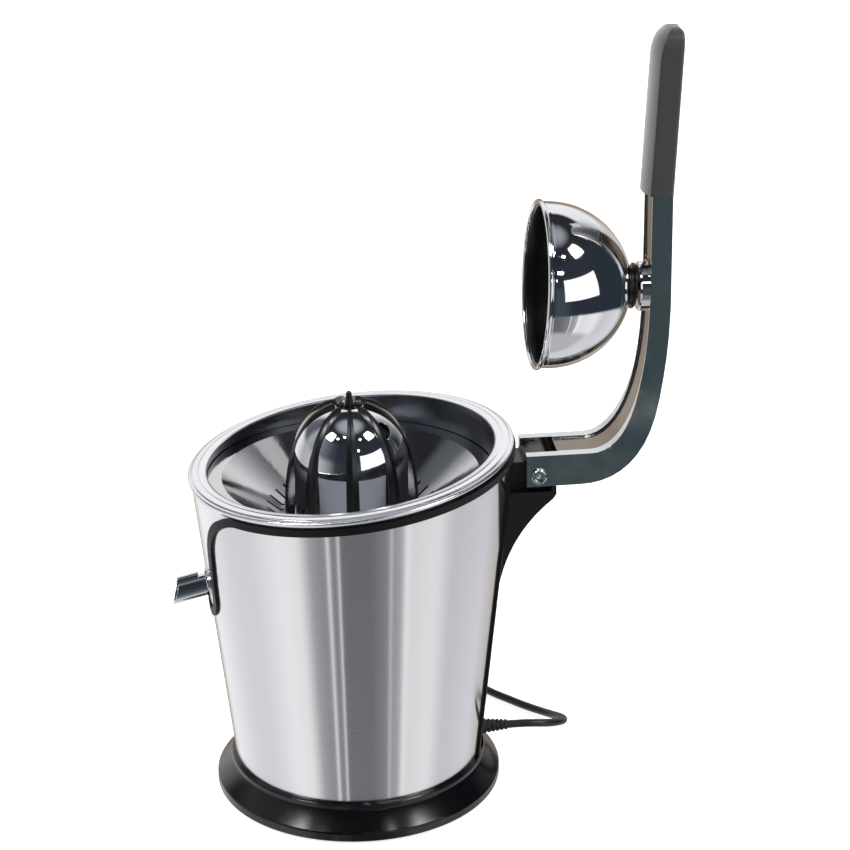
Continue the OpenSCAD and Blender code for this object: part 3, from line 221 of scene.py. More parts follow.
# Smooth line through points: cubic between neighbours, its slopes from the points either side
def smoothLine(points, parts):
    before = np.concatenate([points[:1] * 2 - points[1:2], points[:-1]])
    after = np.concatenate([points[1:], points[-1:] * 2 - points[-2:-1]])
    slope = (after - before) / 2
    t = np.linspace(0, 1, parts, endpoint=False)[None, :, None]
    a, b, m, n = points[:-1, None], points[1:, None], slope[:-1, None], slope[1:, None]
    line = ((2 * t ** 3 - 3 * t ** 2 + 1) * a + (t ** 3 - 2 * t ** 2 + t) * m
            + (3 * t ** 2 - 2 * t ** 3) * b + (t ** 3 - t ** 2) * n)
    return np.concatenate([line.reshape(-1, 3), points[-1:]])


# Lead, coil and tail joined into one path, with a round section carried along it
def makeCord(s):
    coil = coilPoints(s)
    start, end = coil[0] + (s["diameter"], 0, 0), coil[-1] - (0, s["diameter"], 0)
    plugEnd = np.array(s["plugEnd"])
    lead = smoothLine(np.array([s["exit"], *s["route"], start]), s["perStep"])
    steps = [end, *(end + step for step in s["tail"]), plugEnd + s["plugStraight"], plugEnd]
    tail = smoothLine(np.array(steps), s["perStep"])
    path = np.concatenate([lead, coil, tail]) * mm
    piece = sweepTube("mainsLead", path, s["diameter"] / 2 * mm, s["sides"])
    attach(piece, "stand")
    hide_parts("power_cord", "cord_coil", "cord_tail")
    return piece, path


mainsLead, leadPath = makeCord(cordSetup)


# New material: its plain colour and fixed values are set on the shader's own sockets
def newMaterial(name, colour, roughness, fixed=()):
    material = bpy.data.materials.new(name)
    material.use_nodes = True
    shader = material.node_tree.nodes["Principled BSDF"]
    plain = {"Base Color": hexLinear(colour), "Roughness": roughness, **dict(fixed)}
    for key, value in plain.items():
        shader.inputs[key].default_value = value
    return material, material.node_tree, shader


grainSetup = {"detail": 3.0, "roughness": 0.55, "from": 0.25, "to": 0.75}  # the noise, and its usual range


# Colour that wanders between two shades, roughness that wanders round a value, and a fine bump:
# all three read one noise whose grain is a real size in millimetres
def addGrain(tree, shader, s, g=grainSetup):
    place = addNode(tree, "TexCoord").outputs["Object"]
    scale = [1 / (s["grain"] * mm) / k for k in s.get("stretch", (1, 1, 1))]
    scaled = addNode(tree, "Mapping", {}, {"Vector": place, "Scale": scale}).outputs[0]
    noise = addNode(tree, "TexNoise", {}, {"Vector": scaled, "Scale": 1.0, "Detail": g["detail"],
                                           "Roughness": g["roughness"]}).outputs["Fac"]
    dark, light = (hexLinear(code) for code in s["shades"])
    mixed = addNode(tree, "Mix", {"data_type": "RGBA"}, {"Factor": noise, 6: dark, 7: light})
    tree.links.new(mixed.outputs[2], shader.inputs["Base Color"])
    spread = addNode(tree, "MapRange", {}, {"Value": noise, "From Min": g["from"], "From Max": g["to"],
                                            "To Min": s["rough"][0], "To Max": s["rough"][1]})
    tree.links.new(spread.outputs[0], shader.inputs["Roughness"])
    if "bump" in s:
        strength, depth = s["bump"]
        relief = addNode(tree, "Bump", {}, {"Height": noise, "Strength": strength, "Distance": depth * mm})
        tree.links.new(relief.outputs[0], shader.inputs["Normal"])


# Another colour where every test holds; a test is (value, comparison, limit)
def paintOver(tree, shader, tests, colour):
    mask = 1.0
    for value, comparison, limit in tests:
        held = addNode(tree, "Math", {"operation": comparison}, {0: value, 1: limit}).outputs[0]
        mask = addNode(tree, "Math", {"operation": "MULTIPLY"}, {0: mask, 1: held}).outputs[0]
    plain = shader.inputs["Base Color"].links[0].from_socket
    mixed = addNode(tree, "Mix", {"data_type": "RGBA"}, {"Factor": mask, 6: plain, 7: hexLinear(colour)})
    tree.links.new(mixed.outputs[2], shader.inputs["Base Color"])


# The brush ran round the body, so the gloss is drawn out across its marks
def brushRound(tree, shader):
    tangent = addNode(tree, "Tangent", {"direction_type": "RADIAL", "axis": "Z"})
    tree.links.new(tangent.outputs[0], shader.inputs["Tangent"])


# Painted shade: inside the bore, under the rim, the plate's colour is made darker to stand for the shade
# that falls there
boreShadeSetup = {"radius": 86.15, "from": 200.4, "colour": "#75787f"}


def paintBoreShade(tree, shader, s=boreShadeSetup):
    place = addNode(tree, "TexCoord").outputs["Object"]
    level = addNode(tree, "VectorMath", {"operation": "MULTIPLY"}, {0: place, 1: (1, 1, 0)}).outputs[0]
    radius = addNode(tree, "VectorMath", {"operation": "LENGTH"}, {0: level}).outputs["Value"]
    height = addNode(tree, "SeparateXYZ", {}, {0: place}).outputs[2]
    tests = [(radius, "LESS_THAN", s["radius"] * mm), (height, "GREATER_THAN", s["from"] * mm)]
    paintOver(tree, shader, tests, s["colour"])


# Painted reflection: where the channel of the arm's inner face looks forward and up, its colour is made
# warmer to stand for the tan that it reflects
channelReflectionSetup = {"half": 10.2, "towards": (0, -0.7, 0.7), "least": 0.3, "colour": "#7f7363"}


def paintChannelReflection(tree, shader, s=channelReflectionSetup):
    where = addNode(tree, "TexCoord").outputs
    side = addNode(tree, "SeparateXYZ", {}, {0: where["Object"]}).outputs[0]
    across = addNode(tree, "Math", {"operation": "ABSOLUTE"}, {0: side}).outputs[0]
    facing = addNode(tree, "VectorMath", {"operation": "DOT_PRODUCT"},
                     {0: where["Normal"], 1: s["towards"]}).outputs["Value"]
    tests = [(across, "LESS_THAN", s["half"] * mm), (facing, "GREATER_THAN", s["least"])]
    paintOver(tree, shader, tests, s["colour"])


# Finishes by the record's slot: what each is and what that gives the eye. Grain and bump depth are in
# millimetres; bump is (strength, depth); stretch draws the grain out along an axis
finishSetup = {
    # stainless sheet, brushed round the body: hairlines along the brush, highlights stretched up and down;
    # hairlines are about 0.1 mm apart, drawn at 0.5 mm so that they show
    "sleeve_steel": {
        "name": "brushedStainless", "shades": ("#dcdbde", "#e8e7ea"), "rough": (0.12, 0.16), "grain": 0.5,
        "bump": (0.03, 0.003), "stretch": (120, 120, 1), "extra": brushRound,
        "fixed": {"Metallic": 1.0, "Anisotropic": 1.0, "Anisotropic Rotation": 0.25}},
    # satin chrome on moulded ABS: even, bright, a faint cloud in the gloss; inside the bore a painted shade
    "collar_silver": {
        "name": "satinChromePlate", "shades": ("#eaebef", "#f2f3f5"), "rough": (0.21, 0.27), "grain": 9,
        "extra": paintBoreShade, "fixed": {"Metallic": 1.0}},
    # pressed stainless, polished inside: nearly a mirror with the slow waves of the press tool
    "strainer_steel": {
        "name": "polishedStainless", "shades": ("#c2c3c4", "#d0d0d2"), "rough": (0.07, 0.14), "grain": 14,
        "bump": (0.25, 0.35), "fixed": {"Metallic": 1.0}},
    # chrome plate: a clean mirror, a trace of softness from handling
    "chrome": {
        "name": "chromePlate", "shades": ("#dfe0e4", "#e8e9ec"), "rough": (0.03, 0.06), "grain": 12,
        "fixed": {"Metallic": 1.0}},
    # die-cast alloy, polished: a soft mirror with a slightly cool tone, and a warm painted reflection in
    # its channel
    "arm_polished": {
        "name": "polishedAlloy", "shades": ("#cacfd1", "#d5d8d9"), "rough": (0.13, 0.2), "grain": 10,
        "extra": paintChannelReflection, "fixed": {"Metallic": 1.0}},
    # gloss ABS, moulded black: gloss broken by a fine orange peel
    "black_gloss": {
        "name": "glossAbs", "shades": ("#060608", "#0b0b0d"), "rough": (0.13, 0.19), "grain": 1.4,
        "bump": (0.12, 0.03), "fixed": {"IOR": 1.5}},
    # satin ABS, moulded black with a light spark texture
    "black_matte": {
        "name": "satinAbs", "shades": ("#0a0a0b", "#111113"), "rough": (0.26, 0.36), "grain": 0.6,
        "bump": (0.12, 0.03), "fixed": {"IOR": 1.53}},
    # glass-filled nylon, moulded black: dull, a fine even grain
    "bracket_black": {
        "name": "mouldedNylon", "shades": ("#09090b", "#0f0f11"), "rough": (0.31, 0.41), "grain": 0.5,
        "bump": (0.15, 0.04), "fixed": {"IOR": 1.5}},
    # moulded rubber: dull black, slightly dusty
    "rubber_black": {
        "name": "mouldedRubber", "shades": ("#151517", "#202023"), "rough": (0.52, 0.68), "grain": 0.8,
        "bump": (0.15, 0.04), "fixed": {"IOR": 1.52}},
    # soft-touch coat on the grip: dark grey, dull, a fine leathery grain
    "grip_grey": {
        "name": "softTouchGrip", "shades": ("#1b1c1e", "#222325"), "rough": (0.36, 0.44), "grain": 0.7,
        "bump": (0.15, 0.05), "fixed": {"IOR": 1.5, "Sheen Weight": 1.0, "Sheen Roughness": 0.48}},
    # PVC jacket of the mains lead and its plug: black with a low sheen
    "cord_black": {
        "name": "pvcJacket", "shades": ("#121214", "#1b1b1e"), "rough": (0.32, 0.45), "grain": 1.2,
        "bump": (0.1, 0.03), "fixed": {"IOR": 1.54}},
    # zinc-plated steel of screws and shafts: grey, half dull
    "screw_steel": {
        "name": "zincPlatedSteel", "shades": ("#9c9fa3", "#b0b2b6"), "rough": (0.34, 0.46), "grain": 1.5,
        "fixed": {"Metallic": 1.0}},
    # grey ABS of the inner housing: plain, low gloss
    "housing_grey": {
        "name": "greyAbs", "shades": ("#808286", "#8b8d91"), "rough": (0.4, 0.52), "grain": 0.8,
        "bump": (0.12, 0.03), "fixed": {"IOR": 1.53}},
    # polypropylene juice bowl: pale grey, waxy
    "bowl_grey": {
        "name": "greyPolypropylene", "shades": ("#b3b6ba", "#c0c3c7"), "rough": (0.28, 0.4), "grain": 3,
        "fixed": {"IOR": 1.49}},
    # baked enamel on the motor's can: dark grey, an even low gloss
    "motor_grey": {
        "name": "motorEnamel", "shades": ("#565a61", "#62666d"), "rough": (0.34, 0.48), "grain": 1.5,
        "bump": (0.1, 0.03), "fixed": {"IOR": 1.52}},
    # turned brass of pinion and bush: warm, marks of the tool round it
    "brass": {
        "name": "turnedBrass", "shades": ("#ad8f48", "#c2a35a"), "rough": (0.2, 0.34), "grain": 0.6,
        "stretch": (1, 1, 6), "fixed": {"Metallic": 1.0}},
    # acetal gear: white with a soft gloss
    "gear_white": {
        "name": "whiteAcetal", "shades": ("#e2e1dc", "#eeede9"), "rough": (0.27, 0.38), "grain": 2,
        "fixed": {"IOR": 1.48}},
    # red ABS of the switch plunger: plain, low gloss
    "plunger_red": {
        "name": "redAbs", "shades": ("#aa221b", "#bd2c25"), "rough": (0.3, 0.42), "grain": 0.8,
        "fixed": {"IOR": 1.53}},
}
# soft strip of the edge trim, in the satin black's slot: little gloss, so that it stays black along the rim
trimSetup = {"name": "trimStrip", "shades": ("#070708", "#0c0c0d"), "rough": (0.36, 0.48), "grain": 0.6,
             "bump": (0.1, 0.03), "fixed": {"IOR": 1.3}}


def makeFinish(s):
    material, tree, shader = newMaterial(s["name"], s["shades"][0], s["rough"][0], s["fixed"])
    addGrain(tree, shader, s)
    if "extra" in s:
        s["extra"](tree, shader)
    return material


finishes = {slot: makeFinish(s) for slot, s in finishSetup.items()}
slotOf = {row["node"]: row["material_slot"] for row in frame["record"]["subparts"]}
trimStrip = makeFinish(trimSetup)


def dress(piece, slot):
    piece.data.materials.clear()
    piece.data.materials.append(finishes[slot])


for name, node in frame["nodes"].items():
    for holder in node.material_slots:
        holder.material = trimStrip if name == "edge_trim" else finishes[slotOf[name]]
dress(mainsLead, "cord_black")
print("finishes made:", len(finishes) + 1)


# A finished piece rides its body and stands for its nodes
def settle(piece, body, slot, *nodes):
    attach(piece, body)
    if nodes:
        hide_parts(*nodes)
    dress(piece, slot)
    return piece


# Base: black skirt, an upright band at the table, a flare above it and a plain neck under the sleeve
baseSetup = {
    "edge": 87.5, "lip": 78.2, "inside": 74.5,  # radii of skirt, neck and opening
    "low": 1.2, "bend": 6.8, "high": 17.6, "top": 20.8,  # heights of underside, band, flare and neck
    "power": 1.08, "flareRows": 9, "sides": 192,
    "rebate": (79.7, 4.2), "shelf": (73.8, 14), "bore": 70.3,  # inside: radius and height
}


# Flare: radius falls from edge to lip as a power of (1 - k) while the height rises evenly
def makeBase(s):
    edge, lip, bend, high = s["edge"], s["lip"], s["bend"], s["high"]
    flare = [(lip + (edge - lip) * (1 - k) ** s["power"], bend + (high - bend) * k, 0)
             for k in np.linspace(0, 1, s["flareRows"] + 2)[1:-1]]
    rebate, cover = s["rebate"]
    corners = [(rebate, s["low"], 0.4), (edge, s["low"], 1.2), (edge, bend, 1.3), *flare, (lip, high, 0.4),
               (lip, s["top"], 0.8), (s["inside"], s["top"], 0.3), (*s["shelf"], 0),
               (s["bore"], s["shelf"][1], 0), (s["bore"], cover, 0), (rebate, cover, 0)]
    skirt = revolve("baseSkirt", roundProfile(corners), s["sides"], wrapRows=True)
    return settle(skirt, "stand", "black_gloss", "base_ring")


makeBase(baseSetup)

# Collar: a stepped rim turned about an axis that leans forward, over an upright bore with a ledge for
# the strainer
collarSetup = {
    "height": 214.5, "slant": 5.5, "sides": 192, "bore": 86.0, "rim": 97.6, "wall": 94.2, "foot": -3.434,
    # rim's corners: out from the bore and in from the rim, height over the slanted plane, rounding
    "fromBore": [(0, 1.15, 0.4), (1.2, 1.8, 0.7), (4.5, 2.2, 0.7), (5.2, 1.8, 0.5)],
    "fromRim": [(3, 1.7, 0.9), (2.2, 1, 0.7), (0.8, 0.8, 0.8), (0, 0, 0.7), (0.2, -1, 0.5)],
    "footIn": 1.6, "low": 176.0, "lowWall": 90.5,
    "ledge": 200.0, "ledgeUnder": 197.4, "ledgeIn": 80.5, "ledgeFillet": 0.3, "boreRow": 3.0,
}


# Rim: point = (r cos, r sin, h) turned by the slant about X; bore and ledge: point = (r cos, r sin, z)
def makeCollar(s):
    bore, rim, ledge = s["bore"], s["rim"], s["ledge"]
    corners = [*((bore + r, h, k) for r, h, k in s["fromBore"]),
               *((rim - r, h, k) for r, h, k in s["fromRim"]),
               (rim - s["footIn"], s["foot"], 0.2), (s["wall"], s["foot"], 0)]
    profile = roundProfile(corners, closed=False) / mm
    fillet = s["ledgeFillet"]
    upright = np.array([(s["lowWall"], s["low"]), (bore, s["low"]), (bore, s["ledgeUnder"]),
                        (s["ledgeIn"], s["ledgeUnder"]), (s["ledgeIn"], ledge), (bore - fillet, ledge),
                        (bore, ledge + fillet), (bore, ledge + s["boreRow"])])
    angle = np.linspace(0, 2 * np.pi, s["sides"], endpoint=False)
    x, y = np.cos(angle), np.sin(angle)
    slant = math.radians(s["slant"])
    r, h = profile[:, :1], profile[:, 1:]
    top = np.stack([r * x, r * y * math.cos(slant) - h * math.sin(slant),
                    r * y * math.sin(slant) + h * math.cos(slant) + s["height"]], axis=-1)
    r, z = upright[:, :1], np.repeat(upright[:, 1:], len(angle), axis=1)
    below = np.stack([r * x, r * y, z], axis=-1)
    points = np.concatenate([top, below]) * mm
    return settle(makeSkin("topCollar", points, wrapRows=True), "stand", "collar_silver", "top_collar")


makeCollar(collarSetup)

# Press cup and its liner: half ellipses turned about the cup's axis, with a rolled edge
cupSetup = {
    "pivot": (0, 174.4, 311), "lift": 3.7, "radius": 48.8, "depth": 49.0, "wall": 1.2, "hole": 6.0,
    "plane": 56.6, "lip": 6.0, "lipRows": (1.2, 2.4, 3.6),  # along the axis: ellipse's plane, lip past it
    "bead": 1.5, "beadIn": 0.2, "beadTurn": (-100, 180), "beadRows": 15,
    "outerRows": 72, "innerRows": 48, "linerRows": 60, "sides": 192, "linerSides": 160,
    "linerWall": 1.6, "linerGap": 0.1, "linerBelow": 0.6, "linerEdge": ((0, 0.5), (0.15, 0.1), (0.5, 0)),
}


# Half ellipse: point = (radius sin a, plane - depth cos a), from a start radius out to the plane
def ellipseArc(radius, depth, plane, start, steps):
    a = np.linspace(math.asin(start / radius), math.pi / 2, steps)
    return np.stack([radius * np.sin(a), plane - depth * np.cos(a)], axis=1)


# Shell: outer ellipse, straight lip, bead (an arc about the lip's edge) and inner ellipse, one closed
# profile. Liner: two ellipses a wall apart, closed at the bottom and rounded at the edge
def makeCup(s):
    lift = math.radians(s["lift"])
    centre, axis = np.array(s["pivot"]) * mm, (0, -math.cos(lift), math.sin(lift))
    radius, depth, plane, wall = s["radius"], s["depth"], s["plane"], s["wall"]
    mouth = plane + s["lip"]
    outer = ellipseArc(radius, depth, plane, s["hole"], s["outerRows"])
    inner = ellipseArc(radius - wall, depth - wall, plane, s["hole"], s["innerRows"])
    turn = np.radians(np.linspace(*s["beadTurn"], s["beadRows"]))
    bead = np.stack([radius - s["beadIn"] + s["bead"] * np.cos(turn),
                     mouth + s["bead"] * np.sin(turn)], axis=1)
    straight = np.array([(radius, plane + k) for k in s["lipRows"]])
    shell = np.concatenate([outer, straight, bead, inner[::-1]]) * mm
    cup = revolve("pressCup", shell, s["sides"], centre, axis, wrapRows=True)
    settle(cup, "cup", "chrome", "press_cup")
    far, deep = radius - wall - s["linerGap"], depth - wall - s["linerGap"]
    near, edge = far - s["linerWall"], mouth - s["linerBelow"]
    outside = ellipseArc(far, deep, plane, 0, s["linerRows"])
    inside = ellipseArc(near, deep - s["linerWall"], plane, 0, s["linerRows"])
    rim = np.array([*((far - x, edge - y) for x, y in s["linerEdge"]),
                    *((near + x, edge - y) for x, y in s["linerEdge"][::-1])])
    liner = np.concatenate([outside, rim, inside[::-1]]) * mm
    settle(revolve("cupLiner", liner, s["linerSides"], centre, axis), "cup", "black_matte", "cup_liner")


makeCup(cupSetup)

# Reamer: a plated dome on a plain wall, dished at the top round the spike
reamerSetup = {
    "foot": 181.0, "skirt": 37.0, "neck": 36.4, "neckAt": 20.5, "wall": 2.4, "sides": 160,
    "dome": 36.2, "domeFoot": 24.0, "domeHeight": 41.4, "power": 2.3, "outerRows": 72, "innerRows": 36,
    "dish": 61.0, "dishEdge": 7.9, "dishWall": 1.0,
    "hub": 8.0, "hubFoot": 9.0, "bore": 4.75, "boreTop": 54.3,
}


# Dome: (r / radius) ^ power + (z / height) ^ power = 1, walked from the inner radius out to its foot
def domeArc(radius, height, foot, power, inner, steps):
    end = math.acos((inner / radius) ** (power / 2))
    a = np.linspace(end, 0, steps)
    return [(radius * math.cos(k) ** (2 / power), foot + height * math.sin(k) ** (2 / power), 0) for k in a]


# Profile: dish, dome and wall outside, the same a wall thinner inside, down to the hub and its bore
def makeReamer(s):
    wall, power, foot = s["wall"], s["power"], s["domeFoot"]
    outside = domeArc(s["dome"], s["domeHeight"], foot, power, s["dishEdge"], s["outerRows"])
    inside = domeArc(s["dome"] - wall, s["domeHeight"] - wall, foot, power, s["hub"], s["innerRows"])
    corners = [(0, s["dish"], 0), (s["dishEdge"] - s["dishWall"], s["dish"], 0.3), *outside,
               (s["neck"], s["neckAt"], 1.5), (s["skirt"], 0, 0.5), (s["skirt"] - wall, 0, 0.5),
               (s["neck"] - wall, s["neckAt"], 0), *inside[::-1], (s["hub"], s["hubFoot"], 0.3),
               (s["bore"], s["hubFoot"], 0.3), (s["bore"], s["boreTop"], 0), (0, s["boreTop"], 0)]
    piece = revolve("reamerCone", roundProfile(corners, closed=False), s["sides"], (0, 0, s["foot"] * mm))
    return settle(piece, "spindle", "chrome", "reamer_cone")


makeReamer(reamerSetup)

# Ribs of the reamer: black, a low ridge along the middle, thin fins round the spike at the top
ribSetup = {
    "radius": 40.4, "height": 68.0, "power": 2.4, "count": 9, "turn": -3.0, "side": 17.0, "ridge": 0.35,
    "tipWidth": 1.3, "footWidth": 8.4, "footAt": 42.4, "widen": 1.4, "top": 66.8,
    "inner": 4.4, "dishSlope": 0.985, "dishBlend": 4.0, "sink": 0.6, "thin": 0.05,
    "domeEnd": 0.99,  # share of the dome's height up to which its formula is read
    "rows": 96, "rowPower": 1.8, "columns": 17,
}


# Ridge: r = radius (1 - (z / height) ^ power) ^ (1 / power); its two faces fall away from it by tan(side);
# the side walls stand half a width apart that grows as a power of the radius, and end just under the dome
def makeRibs(s, cone):
    z = s["top"] * (1 - (1 - np.linspace(0, 1, s["rows"])) ** s["rowPower"])
    ridge = s["radius"] * (1 - (z / s["height"]) ** s["power"]) ** (1 / s["power"])
    above = np.clip((z - cone["domeFoot"]) / cone["domeHeight"], 0, s["domeEnd"])
    wall = cone["skirt"] + (cone["dome"] - cone["skirt"]) * z / cone["domeFoot"]
    dome = np.where(z < cone["domeFoot"], wall,
                    cone["dome"] * (1 - above ** cone["power"]) ** (1 / cone["power"]))
    blendFrom = cone["dish"] - s["dishBlend"]
    start = np.interp(blendFrom, z, dome) - s["sink"]
    down = np.clip((cone["dish"] - z) / s["dishBlend"], 0, 1)
    dished = s["inner"] + (start - s["inner"]) * down + s["dishSlope"] * np.maximum(0, z - cone["dish"])
    inner = np.where(z < blendFrom, dome - s["sink"], dished)

    def halfWidth(r):
        out = np.clip((r - s["inner"]) / (s["footAt"] - s["inner"]), 0, 1)
        return (s["tipWidth"] + (s["footWidth"] - s["tipWidth"]) * out ** s["widen"]) / 2

    fall = math.tan(math.radians(s["side"]))
    edge = halfWidth(ridge)
    inner = np.minimum(inner, ridge - fall * edge - s["thin"])
    y = np.linspace(-1, 1, s["columns"])[None] * edge[:, None]
    x = ridge[:, None] - fall * (np.sqrt(y ** 2 + s["ridge"] ** 2) - s["ridge"])
    root = np.minimum(edge, halfWidth(inner))[:, None]
    x = np.concatenate([inner[:, None], x, inner[:, None]], axis=1)
    y = np.concatenate([-root, y, root], axis=1)
    rib = closeEnds(np.stack([x, y, np.repeat(z[:, None], x.shape[1], axis=1) + cone["foot"]], axis=-1))
    angle = np.radians(s["turn"] + 360 / s["count"] * np.arange(s["count"]))[:, None, None]
    points = np.stack([rib[..., 0] * np.cos(angle) - rib[..., 1] * np.sin(angle),
                       rib[..., 0] * np.sin(angle) + rib[..., 1] * np.cos(angle),
                       np.broadcast_to(rib[..., 2], (s["count"],) + rib.shape[:2])], axis=-1)
    return settle(makeSkin("reamerRibs", points * mm, crease=30), "spindle", "black_matte", "reamer_ribs")


makeRibs(ribSetup, reamerSetup)
print("turned pieces made")

# Grip: soft sleeve over the arm's end, front face swollen, front and back rounded over at the top
gripSetup = {
    "origin": (0, 189, 368.8), "lean": 3.0, "length": 96.9, "start": 0.1, "out": 0.3,
    "halfWidth": 14.2, "depth": 13.4, "swell": (3.6, 3.3),  # swell of the front at the foot and at the top
    "frontShare": 0.86, "frontEdge": 1.6, "backEdge": 2.6,
    "nose": (10.8, 18.0), "crown": 11.5, "backCorner": 3.4, "rows": (40, 48), "columns": 15,
}


# Section: a parabola across the front between two upright sides and a flat back, its corners rounded. It is
# scaled up the grip: width, front and back follow quarter circles and ellipses near the top
def makeGrip(s):
    wide, bulge = s["halfWidth"], s["swell"][1]
    deep = s["depth"] + bulge
    across = np.linspace(-s["frontShare"], s["frontShare"], s["columns"])
    front = [(wide * k, bulge * k * k - deep, 0) for k in across]
    corners = [*front, (wide, bulge - deep, s["frontEdge"]), (wide, 0, s["backEdge"]),
               (-wide, 0, s["backEdge"]), (-wide, bulge - deep, s["frontEdge"])]
    section = roundProfile(corners, steps=8) / mm
    top, tall = s["length"], s["nose"][1]
    h = np.concatenate([np.linspace(s["start"], top - tall, s["rows"][0], endpoint=False),
                        top - tall * (1 - np.sin(np.radians(np.linspace(0, 90, s["rows"][1]))))])

    def corner(size, height):
        return size * (1 - np.sqrt(1 - np.clip((h - top + height) / height, 0, 1) ** 2))

    width = (wide - corner(s["crown"], s["crown"])) / wide
    foot = s["depth"] + s["swell"][0] + (bulge - s["swell"][0]) * np.clip(h / top, 0, 1)
    near = corner(*s["nose"]) - foot
    back = -corner(s["backCorner"], s["backCorner"])
    x = width[:, None] * section[None, :, 0]
    y = back[:, None] + (back - near)[:, None] * section[None, :, 1] / deep + s["out"]
    z = np.repeat(h[:, None], x.shape[1], axis=1)
    lean = math.radians(s["lean"])
    rows = np.stack([x, y * math.cos(lean) + z * math.sin(lean),
                     z * math.cos(lean) - y * math.sin(lean)], axis=-1)
    points = (closeEnds(rows) + np.array(s["origin"])) * mm
    return settle(makeSkin("handleGrip", points, crease=50), "lever", "grip_grey", "handle_grip")


makeGrip(gripSetup)

# Hinge bolt: a shank with a dished head, a rim round its edge and a small boss in its middle
boltSetup = {
    "y": 110.5, "z": 201.0, "seat": 18.0, "shank": 3.0, "from": -23.0, "sides": 64,
    # head's corners: radius, height over the seat, rounding
    "head": [(0, 1.9, 0), (0.9, 1.7, 0.5), (1.5, 0.5, 0.1), (2.7, 0.5, 0.1), (3, 2.2, 0.15),
             (4.1, 2.2, 0.3), (4.6, 1.7, 0.3), (4.6, 0, 0.1)],
}


# Head and shank in one profile, turned about X
def makeBolt(s):
    corners = [*((r, s["seat"] + h, k) for r, h, k in s["head"]), (s["shank"], s["seat"], 0),
               (s["shank"], s["from"], 0.4), (0, s["from"], 0)]
    centre = (0, s["y"] * mm, s["z"] * mm)
    piece = revolve("hingeBolt", roundProfile(corners, closed=False), s["sides"], centre, (1, 0, 0))
    return settle(piece, "lever", slotOf["hinge_bolt"], "hinge_bolt")


makeBolt(boltSetup)

# Grip screw: pan head at the grip's back
screwSetup = {
    "up": 45.0, "shank": 1.6, "from": -8.0, "seat": 0.3, "sides": 48,
    "head": [(0, 1.9, 0), (1.6, 1.75, 0.6), (3, 1.1, 0.5), (3, 0.3, 0.1)],  # radius, height, rounding
}


# Head and shank in one profile, turned about the line square to the leaning grip
def makeGripScrew(s, grip):
    lean = math.radians(grip["lean"])
    out = np.array((0, math.cos(lean), -math.sin(lean)))
    along = np.array((0, math.sin(lean), math.cos(lean)))
    corners = [*s["head"], (s["shank"], s["seat"], 0), (s["shank"], s["from"], 0.2), (0, s["from"], 0)]
    centre = (np.array(grip["origin"]) + along * s["up"]) * mm
    piece = revolve("gripScrew", roundProfile(corners, closed=False), s["sides"], centre, out)
    return settle(piece, "lever", slotOf["grip_screw"], "grip_screw")


makeGripScrew(screwSetup, gripSetup)

# Return spring: round wire between gear hub and shaft shoulder; the real one shortens as the reamer is
# pressed, the wire here keeps one length
springSetup = {"radius": 6.6, "wire": 0.7, "turns": 6, "perTurn": 36, "sides": 10, "travel": 2.0}


# Wire: point = (r cos, r sin, rising evenly), as high as the node it stands for
def makeSpring(s):
    low, high = (corner[2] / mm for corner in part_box("return_spring"))
    angle = np.linspace(0, 2 * np.pi * s["turns"], s["turns"] * s["perTurn"] + 1)
    rise = np.linspace(low + s["wire"], high - s["wire"], len(angle))
    path = np.stack([s["radius"] * np.cos(angle), s["radius"] * np.sin(angle), rise], axis=1) * mm
    wire = sweepTube("returnSpring", path, s["wire"] * mm, s["sides"])
    piece = settle(wire, "drive", "screw_steel", "return_spring")
    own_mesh(piece)
    return piece


makeSpring(springSetup)

# Spout: a drum on the pivot, a slimmer tube with an oblique end out of it, a thumb ridge on top
spoutSetup = {
    "pivot": (0, -82, 138), "slope": 13.0, "sides": 72,
    "tube": 6.7, "wall": 0.9, "below": -1.2, "root": -3.0, "tip": 29.7, "setBack": 7.2, "tubeRows": 12,
    "endReach": (1.004, 1.004), "endInset": (0.25, 0.65),  # tube's rounded end: shares of length and wall
    "drum": 8.4, "drumFrom": 8.8, "drumTo": -6.5, "bore": 7.0,
    "drumEdge": 0.4, "drumWall": 1.2, "drumIn": 1.0,
    "ridge": {"from": 10.6, "to": 24.6, "half": 3.1, "foot": 4.6, "top": 8.0, "slant": 1.4,
              "slantFrom": 1.5, "roundness": 0.6, "endShrink": 0.88,
              "endRows": (0.3, 1.0), "rows": 8, "columns": 17},
}


# Points given as (across, out along the spout, up) in the spout's own frame
def placeSpout(points, s):
    slope = math.radians(s["slope"])
    x, y, z = (points[..., k] for k in range(3))
    turned = np.stack([x, -y * math.cos(slope) - z * math.sin(slope),
                       z * math.cos(slope) - y * math.sin(slope)], axis=-1)
    return (turned + np.array(s["pivot"])) * mm


# Tube: circle of radius r that ends at tip - setBack * (height over the lowest point) / diameter,
# outside first, over a rounded edge and back inside
def spoutTubePoints(s, angle):
    rows, tube = s["tubeRows"], s["tube"]
    reach = np.concatenate([np.linspace(0, 1, rows), s["endReach"], np.linspace(1, 0, rows)])
    inset = np.concatenate([np.zeros(rows), s["endInset"], np.ones(rows)]) * s["wall"]
    radius = (tube - inset)[:, None]
    up = radius * np.sin(angle)
    end = s["tip"] - s["setBack"] * (up + tube) / (2 * tube)
    out = s["root"] + (end - s["root"]) * reach[:, None]
    return np.stack([radius * np.cos(angle), out, up + s["below"]], axis=-1)


# Drum: short round sleeve that turns on the pivot, open towards the body
def spoutDrumPoints(s, angle):
    far, near, hole = s["drumTo"], s["drumFrom"], s["tube"] - s["drumIn"]
    floor = far + s["drumWall"]
    rows = np.array([(s["drum"] - s["drumEdge"], far), (s["drum"], far + s["drumEdge"]), (s["drum"], near),
                     (s["bore"], near), (s["bore"], floor), (hole, floor), (hole, far)])
    return np.stack([rows[:, :1] * np.cos(angle), np.repeat(-rows[:, 1:], len(angle), axis=1),
                     rows[:, :1] * np.sin(angle)], axis=-1)


